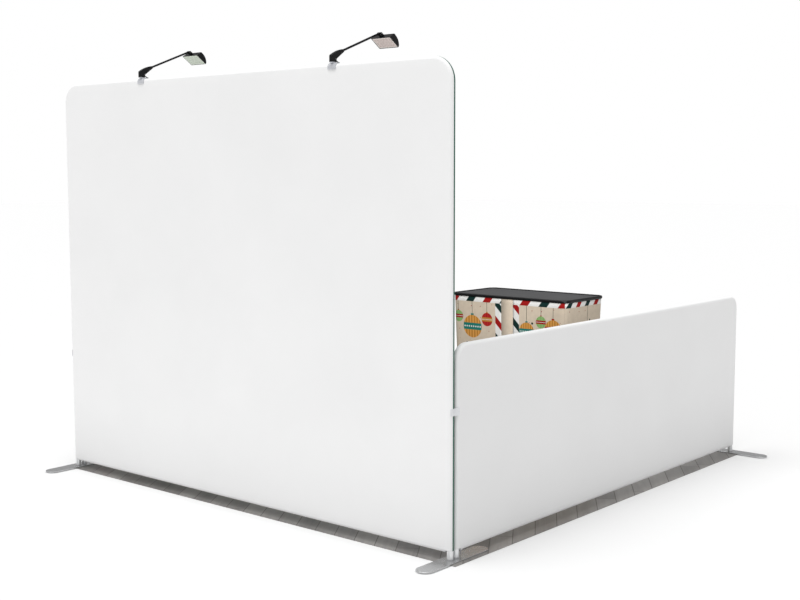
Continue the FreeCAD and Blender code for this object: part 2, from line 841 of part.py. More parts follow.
def lamp_housing(label, x):
    """The driver housing: a moulded wedge with a socket for the arm and a slot for the lever."""
    shell = new_body(label + "_shell")
    side = new_sketch(shell, "YZ_Plane")
    half_nose = s.nose_depth / 2
    chin_x = s.arm_reach + half_nose * sine(s.arm_angle)
    chin_z = s.arm_rise - half_nose * cosine(s.arm_angle)
    crest_x = s.arm_reach - half_nose * sine(s.arm_angle)
    crest_z = s.arm_rise + half_nose * cosine(s.arm_angle)
    throat_z = chin_z - (chin_x - s.housing_front) * tangent(s.throat_angle)
    throat_run = s.throat_round * tangent((90 - s.throat_angle) / 2)
    shoulder_x = s.shoulder_round * (1 - cosine(s.shoulder_angle)) - s.housing_back
    shoulder_z = s.shoulder_round * sine(s.shoulder_angle) + s.housing_shoulder
    hump_x = crest_x - shoulder_x
    hump_z = crest_z - shoulder_z
    hump_bow = hump_x * cosine(s.shoulder_angle) - hump_z * sine(s.shoulder_angle)
    outline(side, lamp_side([
        (-s.housing_back, s.neck_top),
        (s.housing_front, s.neck_top),
        (s.housing_front, throat_z - throat_run, -s.throat_round),
        (s.housing_front + throat_run * cosine(s.throat_angle), throat_z + throat_run * sine(s.throat_angle)),
        (chin_x, chin_z),
        (crest_x, crest_z, (hump_x * hump_x + hump_z * hump_z) / (2 * hump_bow)),
        (shoulder_x, shoulder_z, s.shoulder_round),
        (-s.housing_back, s.housing_shoulder),
    ]))
    wedge = pad(shell, side, s.housing_width, both_ways=True)
    side_x = 0.4 * s.housing_width.value
    low_z = 1.1 * s.neck_top.value
    nose_y = -0.95 * s.arm_reach.value
    fillet(shell, wedge, s.housing_edge, lambda middle: (
        abs(middle.x) > side_x and middle.z > low_z and middle.y > nose_y))
    slot = new_sketch(shell, "YZ_Plane")
    slot_r = s.lever_eye_dia / 2 + s.lever_gap
    slot_high = s.lever_height + slot_r
    lever_fall = (s.housing_front - s.lever_reach) * tangent(s.lever_angle)
    slot_low = s.lever_height - lever_fall - s.lever_thick / 2 / cosine(s.lever_angle) - s.lever_gap
    slot_end = s.housing_front + slot_r
    outline(slot, lamp_side([
        (s.lever_reach - slot_r, slot_low),
        (slot_end, slot_low),
        (slot_end, slot_high),
        (s.lever_reach, slot_high, slot_r),
        (s.lever_reach - slot_r, s.lever_height),
    ]))
    pocket(shell, slot, s.lever_width + 2 * s.lever_gap, both_ways=True)
    bore = new_sketch(shell, "YZ_Plane")
    circle(bore, -s.lever_reach, s.lever_height, s.lever_pin_dia / 2 + s.pin_gap)
    pocket(shell, bore, 2 * s.housing_width, both_ways=True)
    place(shell, x, lamp_y, s.back_height)
    socket = doc.addObject("Part::Cylinder", label + "_socket")
    bind(socket, "Radius", arm_r + s.arm_fit)
    bind(socket, "Height", 2 * s.arm_socket)
    place_on_arm(socket, x, -s.arm_socket)
    housing = doc.addObject("Part::Cut", label)
    housing.Base = shell
    housing.Tool = socket
    finish(housing, label)


def place_on_arm(thing, x, along):
    """Set a piece's own Z along the arm, starting at a distance from the housing's nose."""
    place(thing, x,
          lamp_y - s.arm_reach - along * cosine(s.arm_angle),
          s.back_height + s.arm_rise + along * sine(s.arm_angle),
          FreeCAD.Rotation(X_AXIS, 90))
    bind(thing, "Placement.Rotation.Angle", 90 - s.arm_angle)


def lamp_arm(label, x):
    """A round rod from deep in the housing's socket to a flat eye at the head's hinge."""
    rod = doc.addObject("Part::Cylinder", label + "_rod")
    bind(rod, "Radius", arm_r)
    bind(rod, "Height", s.arm_length + s.arm_socket)
    place_on_arm(rod, x, -s.arm_socket)
    eye = doc.addObject("Part::Cylinder", label + "_eye")
    bind(eye, "Radius", s.eye_dia / 2)
    bind(eye, "Height", s.eye_width)
    place(eye, x - s.eye_width / 2, lamp_y - hinge_reach, s.back_height + hinge_rise, ALONG_X)
    arm_solid = doc.addObject("Part::Fuse", label + "_solid")
    arm_solid.Base = rod
    arm_solid.Tool = eye
    bore = doc.addObject("Part::Cylinder", label + "_bore")
    bind(bore, "Radius", s.hinge_pin_dia / 2 + s.pin_gap)
    bind(bore, "Height", 2 * s.eye_width)
    place(bore, x - s.eye_width, lamp_y - hinge_reach, s.back_height + hinge_rise, ALONG_X)
    arm = doc.addObject("Part::Cut", label)
    arm.Base = arm_solid
    arm.Tool = bore
    finish(arm, label)


def cross_pin(name, dia, length, x, y, z):
    """A plain round pin along X, centred at x, y, z."""
    rod = doc.addObject("Part::Cylinder", name)
    bind(rod, "Radius", dia / 2)
    bind(rod, "Height", length)
    place(rod, x - length / 2, y, z, ALONG_X)
    return rod


def lamp_lever(label, x):
    """A slim lever on its pin in the housing's slot, with a rounded tip, drawn from its pin."""
    lever = new_body(label)
    stick = new_sketch(lever, "YZ_Plane")
    half = s.lever_thick / 2
    run_x = cosine(s.lever_angle)
    run_z = -sine(s.lever_angle)
    outline(stick, lamp_side([
        (half * run_z, -half * run_x),
        (s.lever_length * run_x + half * run_z, s.lever_length * run_z - half * run_x),
        (s.lever_length * run_x - half * run_z, s.lever_length * run_z + half * run_x),
        (-half * run_z, half * run_x),
    ]))
    pad(lever, stick, s.lever_thick, both_ways=True)
    for reach, rise, radius, width in (
        (0, 0, s.lever_eye_dia / 2, s.lever_width),
        (s.lever_length * run_x, s.lever_length * run_z, s.lever_tip_dia / 2, s.lever_width),
    ):
        disc = new_sketch(lever, "YZ_Plane")
        circle(disc, -reach if isinstance(reach, Size) else 0, rise, radius)
        pad(lever, disc, width, both_ways=True)
    bore = new_sketch(lever, "YZ_Plane")
    circle(bore, 0, 0, s.lever_pin_dia / 2 + s.pin_gap)
    pocket(lever, bore, 2 * s.lever_width, both_ways=True)
    place(lever, x, lamp_y - s.lever_reach, s.back_height + s.lever_height)
    finish(lever, label)


def place_on_head(thing, x):
    """Set a piece that is drawn from the hinge: its -Y along the head's face, its Z square to it."""
    place(thing, x, lamp_y - hinge_reach, s.back_height + hinge_rise, FreeCAD.Rotation(X_AXIS, 30))
    bind(thing, "Placement.Rotation.Angle", s.head_tilt)


face_far = s.head_setback + s.head_length
lens_half_x = s.head_width / 2 - s.bezel_width - s.lens_gap
lens_near = s.head_setback + s.bezel_width + s.lens_gap
lens_far = face_far - s.bezel_width - s.lens_gap
recess_half_x = lens_half_x - s.lens_ledge
recess_near = lens_near + s.lens_ledge
recess_far = lens_far - s.lens_ledge


def face_rectangle(sketch, half_x, near, far, grow):
    outline(sketch, [
        (-half_x - grow, -far - grow),
        (half_x + grow, -far - grow),
        (half_x + grow, -near + grow),
        (-half_x - grow, -near + grow),
    ])


def lamp_head(label, x):
    """The lamp head: a domed housing with a recessed face, on two ears beside the arm's eye."""
    head = new_body(label)
    side = new_sketch(head, "YZ_Plane")
    low = -s.head_drop
    high = s.head_height - s.head_drop
    brow = s.head_setback + s.head_brow_reach
    outline(side, lamp_side([
        (s.head_setback, low),
        (face_far, low),
        (face_far, low + s.head_tip_height, s.head_dome_round),
        (s.head_setback + s.head_crown_reach, high, s.head_brow_round),
        (brow, high - s.head_brow_round),
    ]))
    dome = pad(head, side, s.head_width, both_ways=True)
    fillet(head, dome, s.head_edge, lambda middle: (
        abs(middle.x) > 0.4 * s.head_width.value and middle.z > -0.9 * s.head_drop.value))
    ears = new_sketch(head, "YZ_Plane")
    ear_r = s.eye_dia / 2
    ear_root = brow + s.head_brow_round
    outline(ears, lamp_side([
        (0, -ear_r),
        (ear_root, -ear_r),
        (ear_root, ear_r),
        (0, ear_r, ear_r),
        (-ear_r, 0, ear_r),
    ]))
    pad(head, ears, knuckle_width, both_ways=True)
    gap = new_sketch(head, "YZ_Plane")
    slot_r = ear_r + s.ear_gap
    outline(gap, lamp_side([
        (0, -slot_r),
        (s.head_setback, -slot_r),
        (s.head_setback, slot_r),
        (0, slot_r, slot_r),
        (-slot_r, 0, slot_r),
    ]))
    pocket(head, gap, s.eye_width + 2 * s.ear_gap, both_ways=True)
    bore = new_sketch(head, "YZ_Plane")
    circle(bore, 0, 0, s.hinge_pin_dia / 2 + s.pin_gap)
    pocket(head, bore, s.head_width, both_ways=True)
    for half_x, near, far, grow, depth in (
        (recess_half_x, recess_near, recess_far, as_size(0), s.led_recess),
        (lens_half_x, lens_near, lens_far, s.lens_gap, s.lens_thick),
    ):
        opening = new_sketch(head, "XY_Plane", -s.head_drop)
        face_rectangle(opening, half_x, near, far, grow)
        pocket(head, opening, depth, back=True)
    place_on_head(head, x)
    finish(head, label)


def lamp_lens(label, x):
    lens = new_body(label)
    shape = new_sketch(lens, "XY_Plane", -s.head_drop)
    face_rectangle(shape, lens_half_x, lens_near, lens_far, as_size(0))
    pad(lens, shape, s.lens_thick)
    place_on_head(lens, x)
    finish(lens, label)


def lamp_led_board(label, x):
    """A thin board in the recess's floor, with rows of LEDs that shine out through the lens."""
    board = new_body(label)
    floor_z = s.led_recess - s.head_drop
    shape = new_sketch(board, "XY_Plane", floor_z - s.board_thick)
    face_rectangle(shape, recess_half_x, recess_near, recess_far, -s.lens_gap)
    pad(board, shape, s.board_thick)
    leds = new_sketch(board, "XY_Plane", floor_z - s.board_thick)
    for column in range(LEDS_IN_ROW):
        led_x = recess_half_x * (2 * (column + 0.5) / LEDS_IN_ROW - 1)
        for row_index in range(LED_ROWS):
            led_reach = recess_near + (recess_far - recess_near) * ((row_index + 0.5) / LED_ROWS)
            circle(leds, led_x, -led_reach, s.led_dia / 2)
    pad(board, leds, s.led_height, back=True)
    place_on_head(board, x)
    finish(board, label)


for side, sign in SIDES:
    lamp_x = sign * s.lamp_spacing / 2
    lamp_clamp(f"{side}_lamp_clamp", lamp_x)
    lamp_housing(f"{side}_lamp_housing", lamp_x)
    lamp_lever(f"{side}_lamp_lever", lamp_x)
    lamp_arm(f"{side}_lamp_arm", lamp_x)
    lamp_head(f"{side}_lamp_head", lamp_x)
    lamp_lens(f"{side}_lamp_lens", lamp_x)
    lamp_led_board(f"{side}_lamp_led_board", lamp_x)
    hinge_pins.append(cross_pin(f"{side}_hinge_pin", s.hinge_pin_dia, knuckle_width,
                                lamp_x, lamp_y - hinge_reach, s.back_height + hinge_rise))
    lever_pins.append(cross_pin(f"{side}_lever_pin", s.lever_pin_dia, s.housing_width,
                                lamp_x, lamp_y - s.lever_reach, s.back_height + s.lever_height))
group("lamp_hinge_pins", hinge_pins)
group("lamp_lever_pins", lever_pins)


# Counter: drawn round its own middle, from the mat's top

counter_x = s.counter_shift
counter_y = s.counter_setback + s.counter_depth / 2 - s.mat_depth / 2
wrap_half_x = s.counter_width / 2 - s.counter_overhang
wrap_half_y = s.counter_depth / 2 - s.counter_overhang
wrap_high = s.counter_height - s.top_thick - s.wrap_gap
slope = tangent(s.wrap_taper)


def drawn_in(z):
    """How far the wrap has drawn in from its top edge at a height."""
    return (wrap_high - z) * slope


def place_in_counter(thing, z=0):
    place(thing, counter_x, counter_y, s.mat_thick + z)


top = new_body("counter_top")
top_outline = new_sketch(top, "XY_Plane")
rounded_rectangle(top_outline, s.counter_width / 2, s.counter_depth / 2, s.counter_corner)
top_slab = pad(top, top_outline, s.top_thick)
top_middle = s.top_thick.value / 2
fillet(top, top_slab, s.counter_edge, lambda middle: abs(middle.z - top_middle) > 0.8 * top_middle)
tray = new_sketch(top, "XY_Plane", s.top_thick)
tray_half_x = s.counter_width / 2 - s.tray_rim
tray_half_y = s.counter_depth / 2 - s.tray_rim
rounded_rectangle(tray, tray_half_x, tray_half_y, s.counter_corner - s.tray_rim)
pocket(top, tray, s.tray_depth)
place_in_counter(top, s.counter_height - s.top_thick)
finish(top, "counter_top")

plate_inset = s.cloth_thick + s.plate_gap
plate_corner = s.wrap_corner - plate_inset
base_half_x = wrap_half_x - drawn_in(as_size(0)) - plate_inset
base_half_y = wrap_half_y - drawn_in(as_size(0)) - plate_inset
pole_places = [
    (sign_x * (base_half_x - s.pole_inset), sign_y * (base_half_y - s.pole_inset))
    for sign_x in (-1, 1)
    for sign_y in (-1, 1)
]
base = new_body("counter_base")
base_outline = new_sketch(base, "XY_Plane")
rounded_rectangle(base_outline, base_half_x, base_half_y, plate_corner)
pad(base, base_outline, s.base_thick)
place_in_counter(base)
finish(base, "counter_base")

shelf = new_body("counter_shelf")
shelf_outline = new_sketch(shelf, "XY_Plane")
shelf_draw = drawn_in(s.shelf_height) + plate_inset
rounded_rectangle(shelf_outline, wrap_half_x - shelf_draw, wrap_half_y - shelf_draw, plate_corner)
for pole_x, pole_y in pole_places:
    circle(shelf_outline, pole_x, pole_y, s.pole_neck_dia / 2 + s.pole_gap)
pad(shelf, shelf_outline, s.shelf_thick)
place_in_counter(shelf, s.shelf_height)
finish(shelf, "counter_shelf")

poles = []
for pole_x, pole_y in pole_places:
    pole = new_body(f"counter_pole_{len(poles) + 1}")
    pole_side = new_sketch(pole, "XZ_Plane")
    pole_top = s.counter_height - s.top_thick
    outline(pole_side, [
        (0, s.base_thick),
        (s.pole_dia / 2, s.base_thick),
        (s.pole_dia / 2, s.shelf_height),
        (s.pole_neck_dia / 2, s.shelf_height),
        (s.pole_neck_dia / 2, pole_top),
        (0, pole_top),
    ])
    revolve(pole, pole_side)
    place(pole, counter_x + pole_x, counter_y + pole_y, s.mat_thick)
    poles.append(pole)
group("counter_poles", poles)

wrap = new_body("counter_wrap")
for kind, inset in (("PartDesign::AdditiveLoft", as_size(0)), ("PartDesign::SubtractiveLoft", s.cloth_thick)):
    rings = []
    for level in (s.wrap_hem, wrap_high):
        ring = new_sketch(wrap, "XY_Plane", level)
        draw = drawn_in(level) + inset
        rounded_rectangle(ring, wrap_half_x - draw, wrap_half_y - draw, s.wrap_corner - inset)
        rings.append(ring)
    loft = wrap.newObject(kind, "counter_wrap_loft")
    loft.Profile = rings[0]
    loft.Sections = [rings[1]]
    loft.Ruled = True
    doc.recompute()
place_in_counter(wrap)

# The wrap's panels meet on mitre lines through its rounded corners, and the back ones stop at the flap gap
mitre_in = s.wrap_corner / 2
mitre_out = s.wrap_corner + s.counter_overhang
mitre_x = wrap_half_x - s.wrap_corner
mitre_y = wrap_half_y - s.wrap_corner
near_x = mitre_x - mitre_in
near_y = mitre_y - mitre_in
far_x = mitre_x + mitre_out
far_y = mitre_y + mitre_out
flap_edge = s.flap_gap / 2
WRAP_PANELS = {
    "counter_front_wrap": [(-near_x, -near_y), (-far_x, -far_y), (far_x, -far_y), (near_x, -near_y)],
    "counter_left_wrap": [(-near_x, -near_y), (-near_x, near_y), (-far_x, far_y), (-far_x, -far_y)],
    "counter_right_wrap": [(near_x, near_y), (near_x, -near_y), (far_x, -far_y), (far_x, far_y)],
    "left_flap": [(-near_x, near_y), (-flap_edge, near_y), (-flap_edge, far_y), (-far_x, far_y)],
    "right_flap": [(flap_edge, near_y), (near_x, near_y), (far_x, far_y), (flap_edge, far_y)],
}
flaps = []
for label, plan in WRAP_PANELS.items():
    region = new_body(label + "_region")
    region_outline = new_sketch(region, "XY_Plane")
    outline(region_outline, plan)
    pad(region, region_outline, s.counter_height)
    place_in_counter(region)
    panel = doc.addObject("Part::Common", label)
    panel.Base = wrap
    panel.Tool = region
    if label.endswith("flap"):
        flaps.append(panel)
    else:
        finish(panel, label)
group("counter_back_flaps", flaps)

strip = new_body("counter_closing_strip")
strip_side = new_sketch(strip, "YZ_Plane")
strip_points = []
for level, depth in ((s.wrap_hem, 0), (wrap_high, 0), (wrap_high, 1), (s.wrap_hem, 1)):
    strip_inset = s.cloth_thick + s.strip_gap + depth * s.cloth_thick
    strip_points.append((wrap_half_y - drawn_in(level) - strip_inset, level))
outline(strip_side, strip_points)
pad(strip, strip_side, s.strip_width, both_ways=True)
place_in_counter(strip)
finish(strip, "counter_closing_strip")


# Check every object, then write the sub-parts
doc.recompute()
for thing in doc.Objects:
    if "Invalid" in thing.State or "Error" in thing.State:
        raise RuntimeError(f"{thing.Name} failed: {thing.State}")
for node in nodes:
    if node.Shape.isNull() or not node.Shape.isValid() or not node.Shape.Solids:
        raise RuntimeError(f"{node.Label} has no valid solid")
os.makedirs("parts", exist_ok=True)
for node in nodes:
    node.Shape.exportStep(f"parts/{node.Label}.step")
print(len(nodes), "sub-parts written")
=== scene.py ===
import math

import bpy
from mathutils import Matrix, Quaternion, Vector


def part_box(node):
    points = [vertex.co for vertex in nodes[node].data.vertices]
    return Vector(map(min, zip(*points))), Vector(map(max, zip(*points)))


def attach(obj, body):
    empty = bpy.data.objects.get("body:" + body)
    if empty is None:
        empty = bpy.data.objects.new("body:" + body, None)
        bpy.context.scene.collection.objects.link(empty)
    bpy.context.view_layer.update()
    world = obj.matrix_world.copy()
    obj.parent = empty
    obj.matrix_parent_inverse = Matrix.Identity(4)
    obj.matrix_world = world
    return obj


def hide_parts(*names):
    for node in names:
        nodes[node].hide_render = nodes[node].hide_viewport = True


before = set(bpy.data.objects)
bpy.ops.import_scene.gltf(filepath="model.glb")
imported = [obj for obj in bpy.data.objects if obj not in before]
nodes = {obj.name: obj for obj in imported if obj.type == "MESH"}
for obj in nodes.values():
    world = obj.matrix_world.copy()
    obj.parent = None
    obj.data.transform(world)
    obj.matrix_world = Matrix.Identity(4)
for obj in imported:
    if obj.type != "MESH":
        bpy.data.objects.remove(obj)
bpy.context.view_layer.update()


# Floor mat: one sheet of printed vinyl with slanted wood-look planks, rolled out first.
# The print has fine grain, a dark line between planks and a thin satin wear layer on top.

class Shade:
    """A shader socket: arithmetic on it adds Math nodes, and node() adds any other node."""

    def __init__(self, tree, socket):
        self.tree = tree
        self.socket = socket

    def node(self, kind, settings, sockets, out=0):
        made = self.tree.nodes.new("ShaderNode" + kind)
        for name, value in settings.items():
            if name == "stops":
                ramp = made.color_ramp.elements
                while len(ramp) < len(value):
                    ramp.new(0.5)
                for stop, (position, colour) in zip(ramp, value):
                    stop.position = position
                    stop.color = (*colour, 1)
            else:
                setattr(made, name, value)
        for name, value in sockets.items():
            if isinstance(value, Shade):
                self.tree.links.new(value.socket, made.inputs[name])
            elif isinstance(value, tuple) and len(value) == 3 and made.inputs[name].type == "RGBA":
                made.inputs[name].default_value = (*value, 1)
            else:
                made.inputs[name].default_value = value
        return Shade(self.tree, made.outputs[out])

    def maths(self, operation, *others):
        return self.node("Math", {"operation": operation}, dict(enumerate((self, *others))))

    def __add__(self, other):
        return self.maths("ADD", other)

    def __sub__(self, other):
        return self.maths("SUBTRACT", other)

    def __mul__(self, other):
        return self.maths("MULTIPLY", other)

    def __truediv__(self, other):
        return self.maths("DIVIDE", other)

    def __radd__(self, other):
        return self.node("Math", {"operation": "ADD"}, {0: other, 1: self})

    def __rsub__(self, other):
        return self.node("Math", {"operation": "SUBTRACT"}, {0: other, 1: self})

    def __rmul__(self, other):
        return self.node("Math", {"operation": "MULTIPLY"}, {0: other, 1: self})

    def step(self, low, high):
        """0 below low, 1 above high, smooth between."""
        settings = {"interpolation_type": "SMOOTHSTEP"}
        return self.node("MapRange", settings, {"Value": self, "From Min": low, "From Max": high})

    def paint(self, under, over):
        """The colour over where this mask is 1, and under where it is 0."""
        return self.node("Mix", {"data_type": "RGBA"}, {0: self, 6: under, 7: over}, out=2)

    def above(self, level, soft):
        """1 where this value is over the level, with a soft edge."""
        return (self - level).step(-soft, soft)

    def below(self, level, soft):
        """1 where this value is under the level, with a soft edge."""
        return 1 - self.above(level, soft)

    def within(self, reach, soft):
        """1 where this value is nearer to 0 than the reach."""
        return self.maths("ABSOLUTE").below(reach, soft)

    def ramp(self, *stops):
        """The colour at this value, between stops of a value and a colour."""
        return self.node("ValToRGB", {"stops": stops}, {"Fac": self})

    def vector(self, y, z):
        return self.node("CombineXYZ", {}, {"X": self, "Y": y, "Z": z})

    def parts(self):
        """The x, y and z of this vector."""
        return [self.node("SeparateXYZ", {}, {"Vector": self}, out=axis) for axis in range(3)]

    def noise(self, scale, detail=2.0, roughness=0.5):
        """Soft noise on this vector, about 0.5."""
        sockets = {"Vector": self, "Scale": scale, "Detail": detail, "Roughness": roughness}
        return self.node("TexNoise", {}, sockets)


def new_finish(name, coordinates="Object"):
    """A new material, its x, y and z on the piece, and the whole coordinate."""
    material = bpy.data.materials.new(name)
    material.use_nodes = True
    tree = material.node_tree
    source = tree.nodes.new("ShaderNodeTexCoord")
    point = Shade(tree, source.outputs[coordinates])
    return material, point, point.parts()


def set_finish(material, **values):
    """Set or link the sockets of a material's shader."""
    shader = material.node_tree.nodes["Principled BSDF"]
    for name, value in values.items():
        socket = shader.inputs[name.replace("_", " ")]
        if isinstance(value, Shade):
            material.node_tree.links.new(value.socket, socket)
        else:
            socket.default_value = (*value, 1) if isinstance(value, tuple) else value
    return material


def bump(shade, strength, distance):
    return shade.node("Bump", {}, {"Strength": strength, "Distance": distance, "Height": shade})


def dress(material, *names):
    for name in names:
        nodes[name].data.materials.clear()
        nodes[name].data.materials.append(material)


plank_width = 0.111
plank_length = 1.15
plank_turn = math.radians(34)
plank_shift = 0.001
plank_stagger = 5.0
plank_joint = (0.0012, 0.0034)
plank_print, _, (floor_x, floor_y, _) = new_finish("plank_print")
plank_across = floor_x * math.cos(plank_turn) + floor_y * math.sin(plank_turn)
plank_along = floor_y * math.cos(plank_turn) - floor_x * math.sin(plank_turn)
plank_column = (plank_across - plank_shift) / plank_width
plank_number = plank_column.maths("FLOOR")
plank_chance = plank_number.node("TexWhiteNoise", {"noise_dimensions": "1D"}, {"W": plank_number})
plank_row = plank_along / plank_length + plank_chance * plank_stagger
board_number = plank_row.maths("FLOOR")
board_chance = plank_number.node(
    "TexWhiteNoise", {"noise_dimensions": "2D"}, {"Vector": plank_number.vector(board_number, 0.0)})
side_gap = (0.5 - (plank_column.maths("FRACT") - 0.5).maths("ABSOLUTE")) * plank_width
end_gap = (0.5 - (plank_row.maths("FRACT") - 0.5).maths("ABSOLUTE")) * plank_length
plank_seam = 1 - side_gap.maths("MINIMUM", end_gap).step(*plank_joint)
grain_point = (plank_across * 46.0).vector(plank_along * 2.6, board_chance * 30.0)
plank_grain = grain_point.noise(1.0, 6.0, 0.62)
plank_cloud = (plank_across * 7.0).vector(plank_along * 1.3, board_chance * 11.0).noise(1.0, 3.0)
plank_tone = plank_grain * 0.55 + plank_cloud * 0.3 + board_chance * 0.26
plank_colour = plank_tone.ramp(
    (0.28, (0.110, 0.105, 0.100)), (0.52, (0.195, 0.186, 0.178)), (0.78, (0.29, 0.278, 0.266)))
plank_colour = plank_seam.paint(plank_colour, (0.115, 0.108, 0.102))
plank_relief = plank_grain * 0.25 - plank_seam
set_finish(
    plank_print, Base_Color=plank_colour, Roughness=plank_grain * 0.14 + 0.30 + plank_seam * 0.2,
    Normal=bump(plank_relief, 0.35, 0.0006))
dress(plank_print, "floor_mat")


# Wall frames: round aluminium tube, bent at the top corners, with a satin anodised skin.
# Drawing the tube leaves faint streaks along it, so each direction has its own finish.

def satin_tube(name, stretch):
    material, point, parts = new_finish(name)
    streak_point = (parts[0] * stretch[0]).vector(parts[1] * stretch[1], parts[2] * stretch[2])
    streak = streak_point.noise(1.0, 4.0, 0.6)
    smudge = point.noise(9.0, 3.0)
    tone = streak * 0.5 + smudge * 0.5
    colour = tone.ramp((0.3, (0.78, 0.79, 0.80)), (0.7, (0.87, 0.875, 0.88)))
    return set_finish(
        material, Base_Color=colour, Metallic=0.65, Roughness=streak * 0.12 + 0.26,
        Normal=bump(streak, 0.08, 0.0003))


streak_fine = 900.0
streak_long = 14.0
dress(satin_tube("satin_tube_upright", (streak_fine, streak_fine, streak_long)),
      "back_left_upright", "back_right_upright", "back_left_corner_tube", "back_right_corner_tube",
      "left_rear_hoop", "right_rear_hoop", "left_front_hoop", "right_front_hoop", "back_centre_post",
      "side_centre_posts", "counter_poles")
dress(satin_tube("satin_tube_across", (streak_long, streak_fine, streak_fine)),
      "back_top_rail", "back_bottom_rail")
dress(satin_tube("satin_tube_deep", (streak_fine, streak_long, streak_fine)),
      "left_bottom_rail", "right_bottom_rail")


# Connectors and snap buttons: moulded plugs inside the tube joints, each with a sprung steel button.
# They are pushed in by hand and show only as the button's round end, under the cloth.

def toned(colour, share):
    """A colour made darker or lighter."""
    return tuple(min(share * channel, 1.0) for channel in colour)


def moulded_plastic(name, colour, roughness, grain=2600.0, gloss=0.5):
    """Plastic from a spark-textured mould: a fine pebble grain, and a little unevenness."""
    material, point, _ = new_finish(name)
    pebble = point.noise(grain, 2.0, 0.5)
    cloud = point.noise(14.0, 3.0)
    tone = pebble * 0.35 + cloud * 0.65
    shade = tone.ramp((0.3, toned(colour, 0.82)), (0.7, toned(colour, 1.12)))
    return set_finish(
        material, Base_Color=shade, Roughness=cloud * 0.12 + (roughness - 0.06), Specular_IOR_Level=gloss,
        Normal=bump(pebble, 0.18, 0.0002))


def brushed_steel(name, colour, roughness):
    """Bare or plated steel with fine turning marks."""
    material, point, parts = new_finish(name)
    mark = (parts[0] * 300.0).vector(parts[1] * 300.0, parts[2] * 2600.0).noise(1.0, 3.0, 0.6)
    cloud = point.noise(40.0, 3.0)
    tone = mark * 0.5 + cloud * 0.5
    shade = tone.ramp((0.3, toned(colour, 0.86)), (0.7, colour))
    return set_finish(
        material, Base_Color=shade, Metallic=1.0, Roughness=mark * 0.14 + (roughness - 0.07),
        Normal=bump(mark, 0.06, 0.0002))


dress(moulded_plastic("connector_plastic", (0.05, 0.05, 0.055), 0.5), "tube_connectors")
bright_steel = brushed_steel("bright_steel", (0.72, 0.72, 0.73), 0.3)
dress(bright_steel, "snap_buttons")


# Feet: flat steel plates with round ends, powder-coated silver, under each pair of posts.
# A turned spigot stands on each plate inside the post, held by a screw from below.

def silver_coat(name, colour, roughness):
    """Silver powder coat: metal flakes in a slightly pebbled skin, with faint scuffs."""
    material, point, parts = new_finish(name)
    flake = point.noise(5200.0, 1.0)
    pebble = point.noise(700.0, 2.0)
    scuff_point = (parts[0] * 26.0).vector(parts[1] * 26.0, parts[2] * 90.0)
    scuff = scuff_point.noise(1.0, 6.0, 0.7).step(0.62, 0.78)
    tone = flake * 0.5 + pebble * 0.5
    shade = tone.ramp((0.34, toned(colour, 0.84)), (0.66, toned(colour, 1.14)))
    return set_finish(
        material, Base_Color=shade, Metallic=0.9, Roughness=scuff * 0.14 + (roughness - 0.02),
        Normal=bump(pebble, 0.12, 0.0003))


dress(silver_coat("foot_silver", (0.54, 0.545, 0.55), 0.28),
      "left_corner_foot", "right_corner_foot", "left_front_foot", "right_front_foot")
dress(bright_steel, "foot_spigots", "foot_screws")


# Pillowcase covers: knitted polyester pulled over each frame, white outside and printed inside.
# The two panels are sewn together just past the frame's edge, and a zip closes the hem below.

tube_cover = 0.0173
cloth_thick = 0.0009
hem_height = 0.0413
seam_turn = 10
seam_gap = 1
hem_half_gap = 0.020
zip_half = 0.0033
back_half = 1.4567
side_half = 1.4510
back_top = 2.331 - tube_cover - hem_height
side_top = 1.022 - tube_cover - hem_height
back_bend = 0.099
side_bend = 0.065
back_line = 1.4774
side_line = -0.0166
wall_post = 1.4567
post_levels = (0.7, 0.85)
hem_turn = math.acos(zip_half / tube_cover)
tiny = 1e-9


def rim_turn(side):
    """How far a panel goes round the frame's edge: the inner one, at side 1, passes its middle."""
    return math.radians(90 + seam_turn if side > 0 else 90 - seam_turn - seam_gap)


def plain_mesh(name, points, faces, uv=None):
    """A smooth-shaded mesh object from points and faces, with an optional map of one pair per point."""
    mesh = bpy.data.meshes.new(name)
    mesh.from_pydata(points, [], faces)
    if uv:
        layer = mesh.uv_layers.new(name="Print")
        for loop in mesh.loops:
            layer.data[loop.index].uv = uv[loop.vertex_index]
    mesh.polygons.foreach_set("use_smooth", [True] * len(mesh.polygons))
    piece = bpy.data.objects.new(name, mesh)
    bpy.context.scene.collection.objects.link(piece)
    return piece


def made_plain(piece):
    """Turn a piece's modifiers into plain mesh."""
    graph = bpy.context.evaluated_depsgraph_get()
    mesh = bpy.data.meshes.new_from_object(piece.evaluated_get(graph))
    mesh.name = piece.name
    piece.modifiers.clear()
    if piece.type == "MESH":
        piece.data = mesh
        return piece
    plain = bpy.data.objects.new(piece.name + "_mesh", mesh)
    bpy.context.scene.collection.objects.link(plain)
    bpy.data.objects.remove(piece)
    return plain


def thicken(piece, thickness):
    """Give a cloth piece its thickness on the inner side."""
    wall = piece.modifiers.new("thickness", "SOLIDIFY")
    wall.thickness = thickness
    wall.offset = -1
    return made_plain(piece)


def wall_place(turn, x, y):
    """Where a wall drawn about its own hem stands in the booth."""
    return Matrix.Translation((x, y, hem_height)) @ Matrix.Rotation(math.radians(turn), 4, "Z")


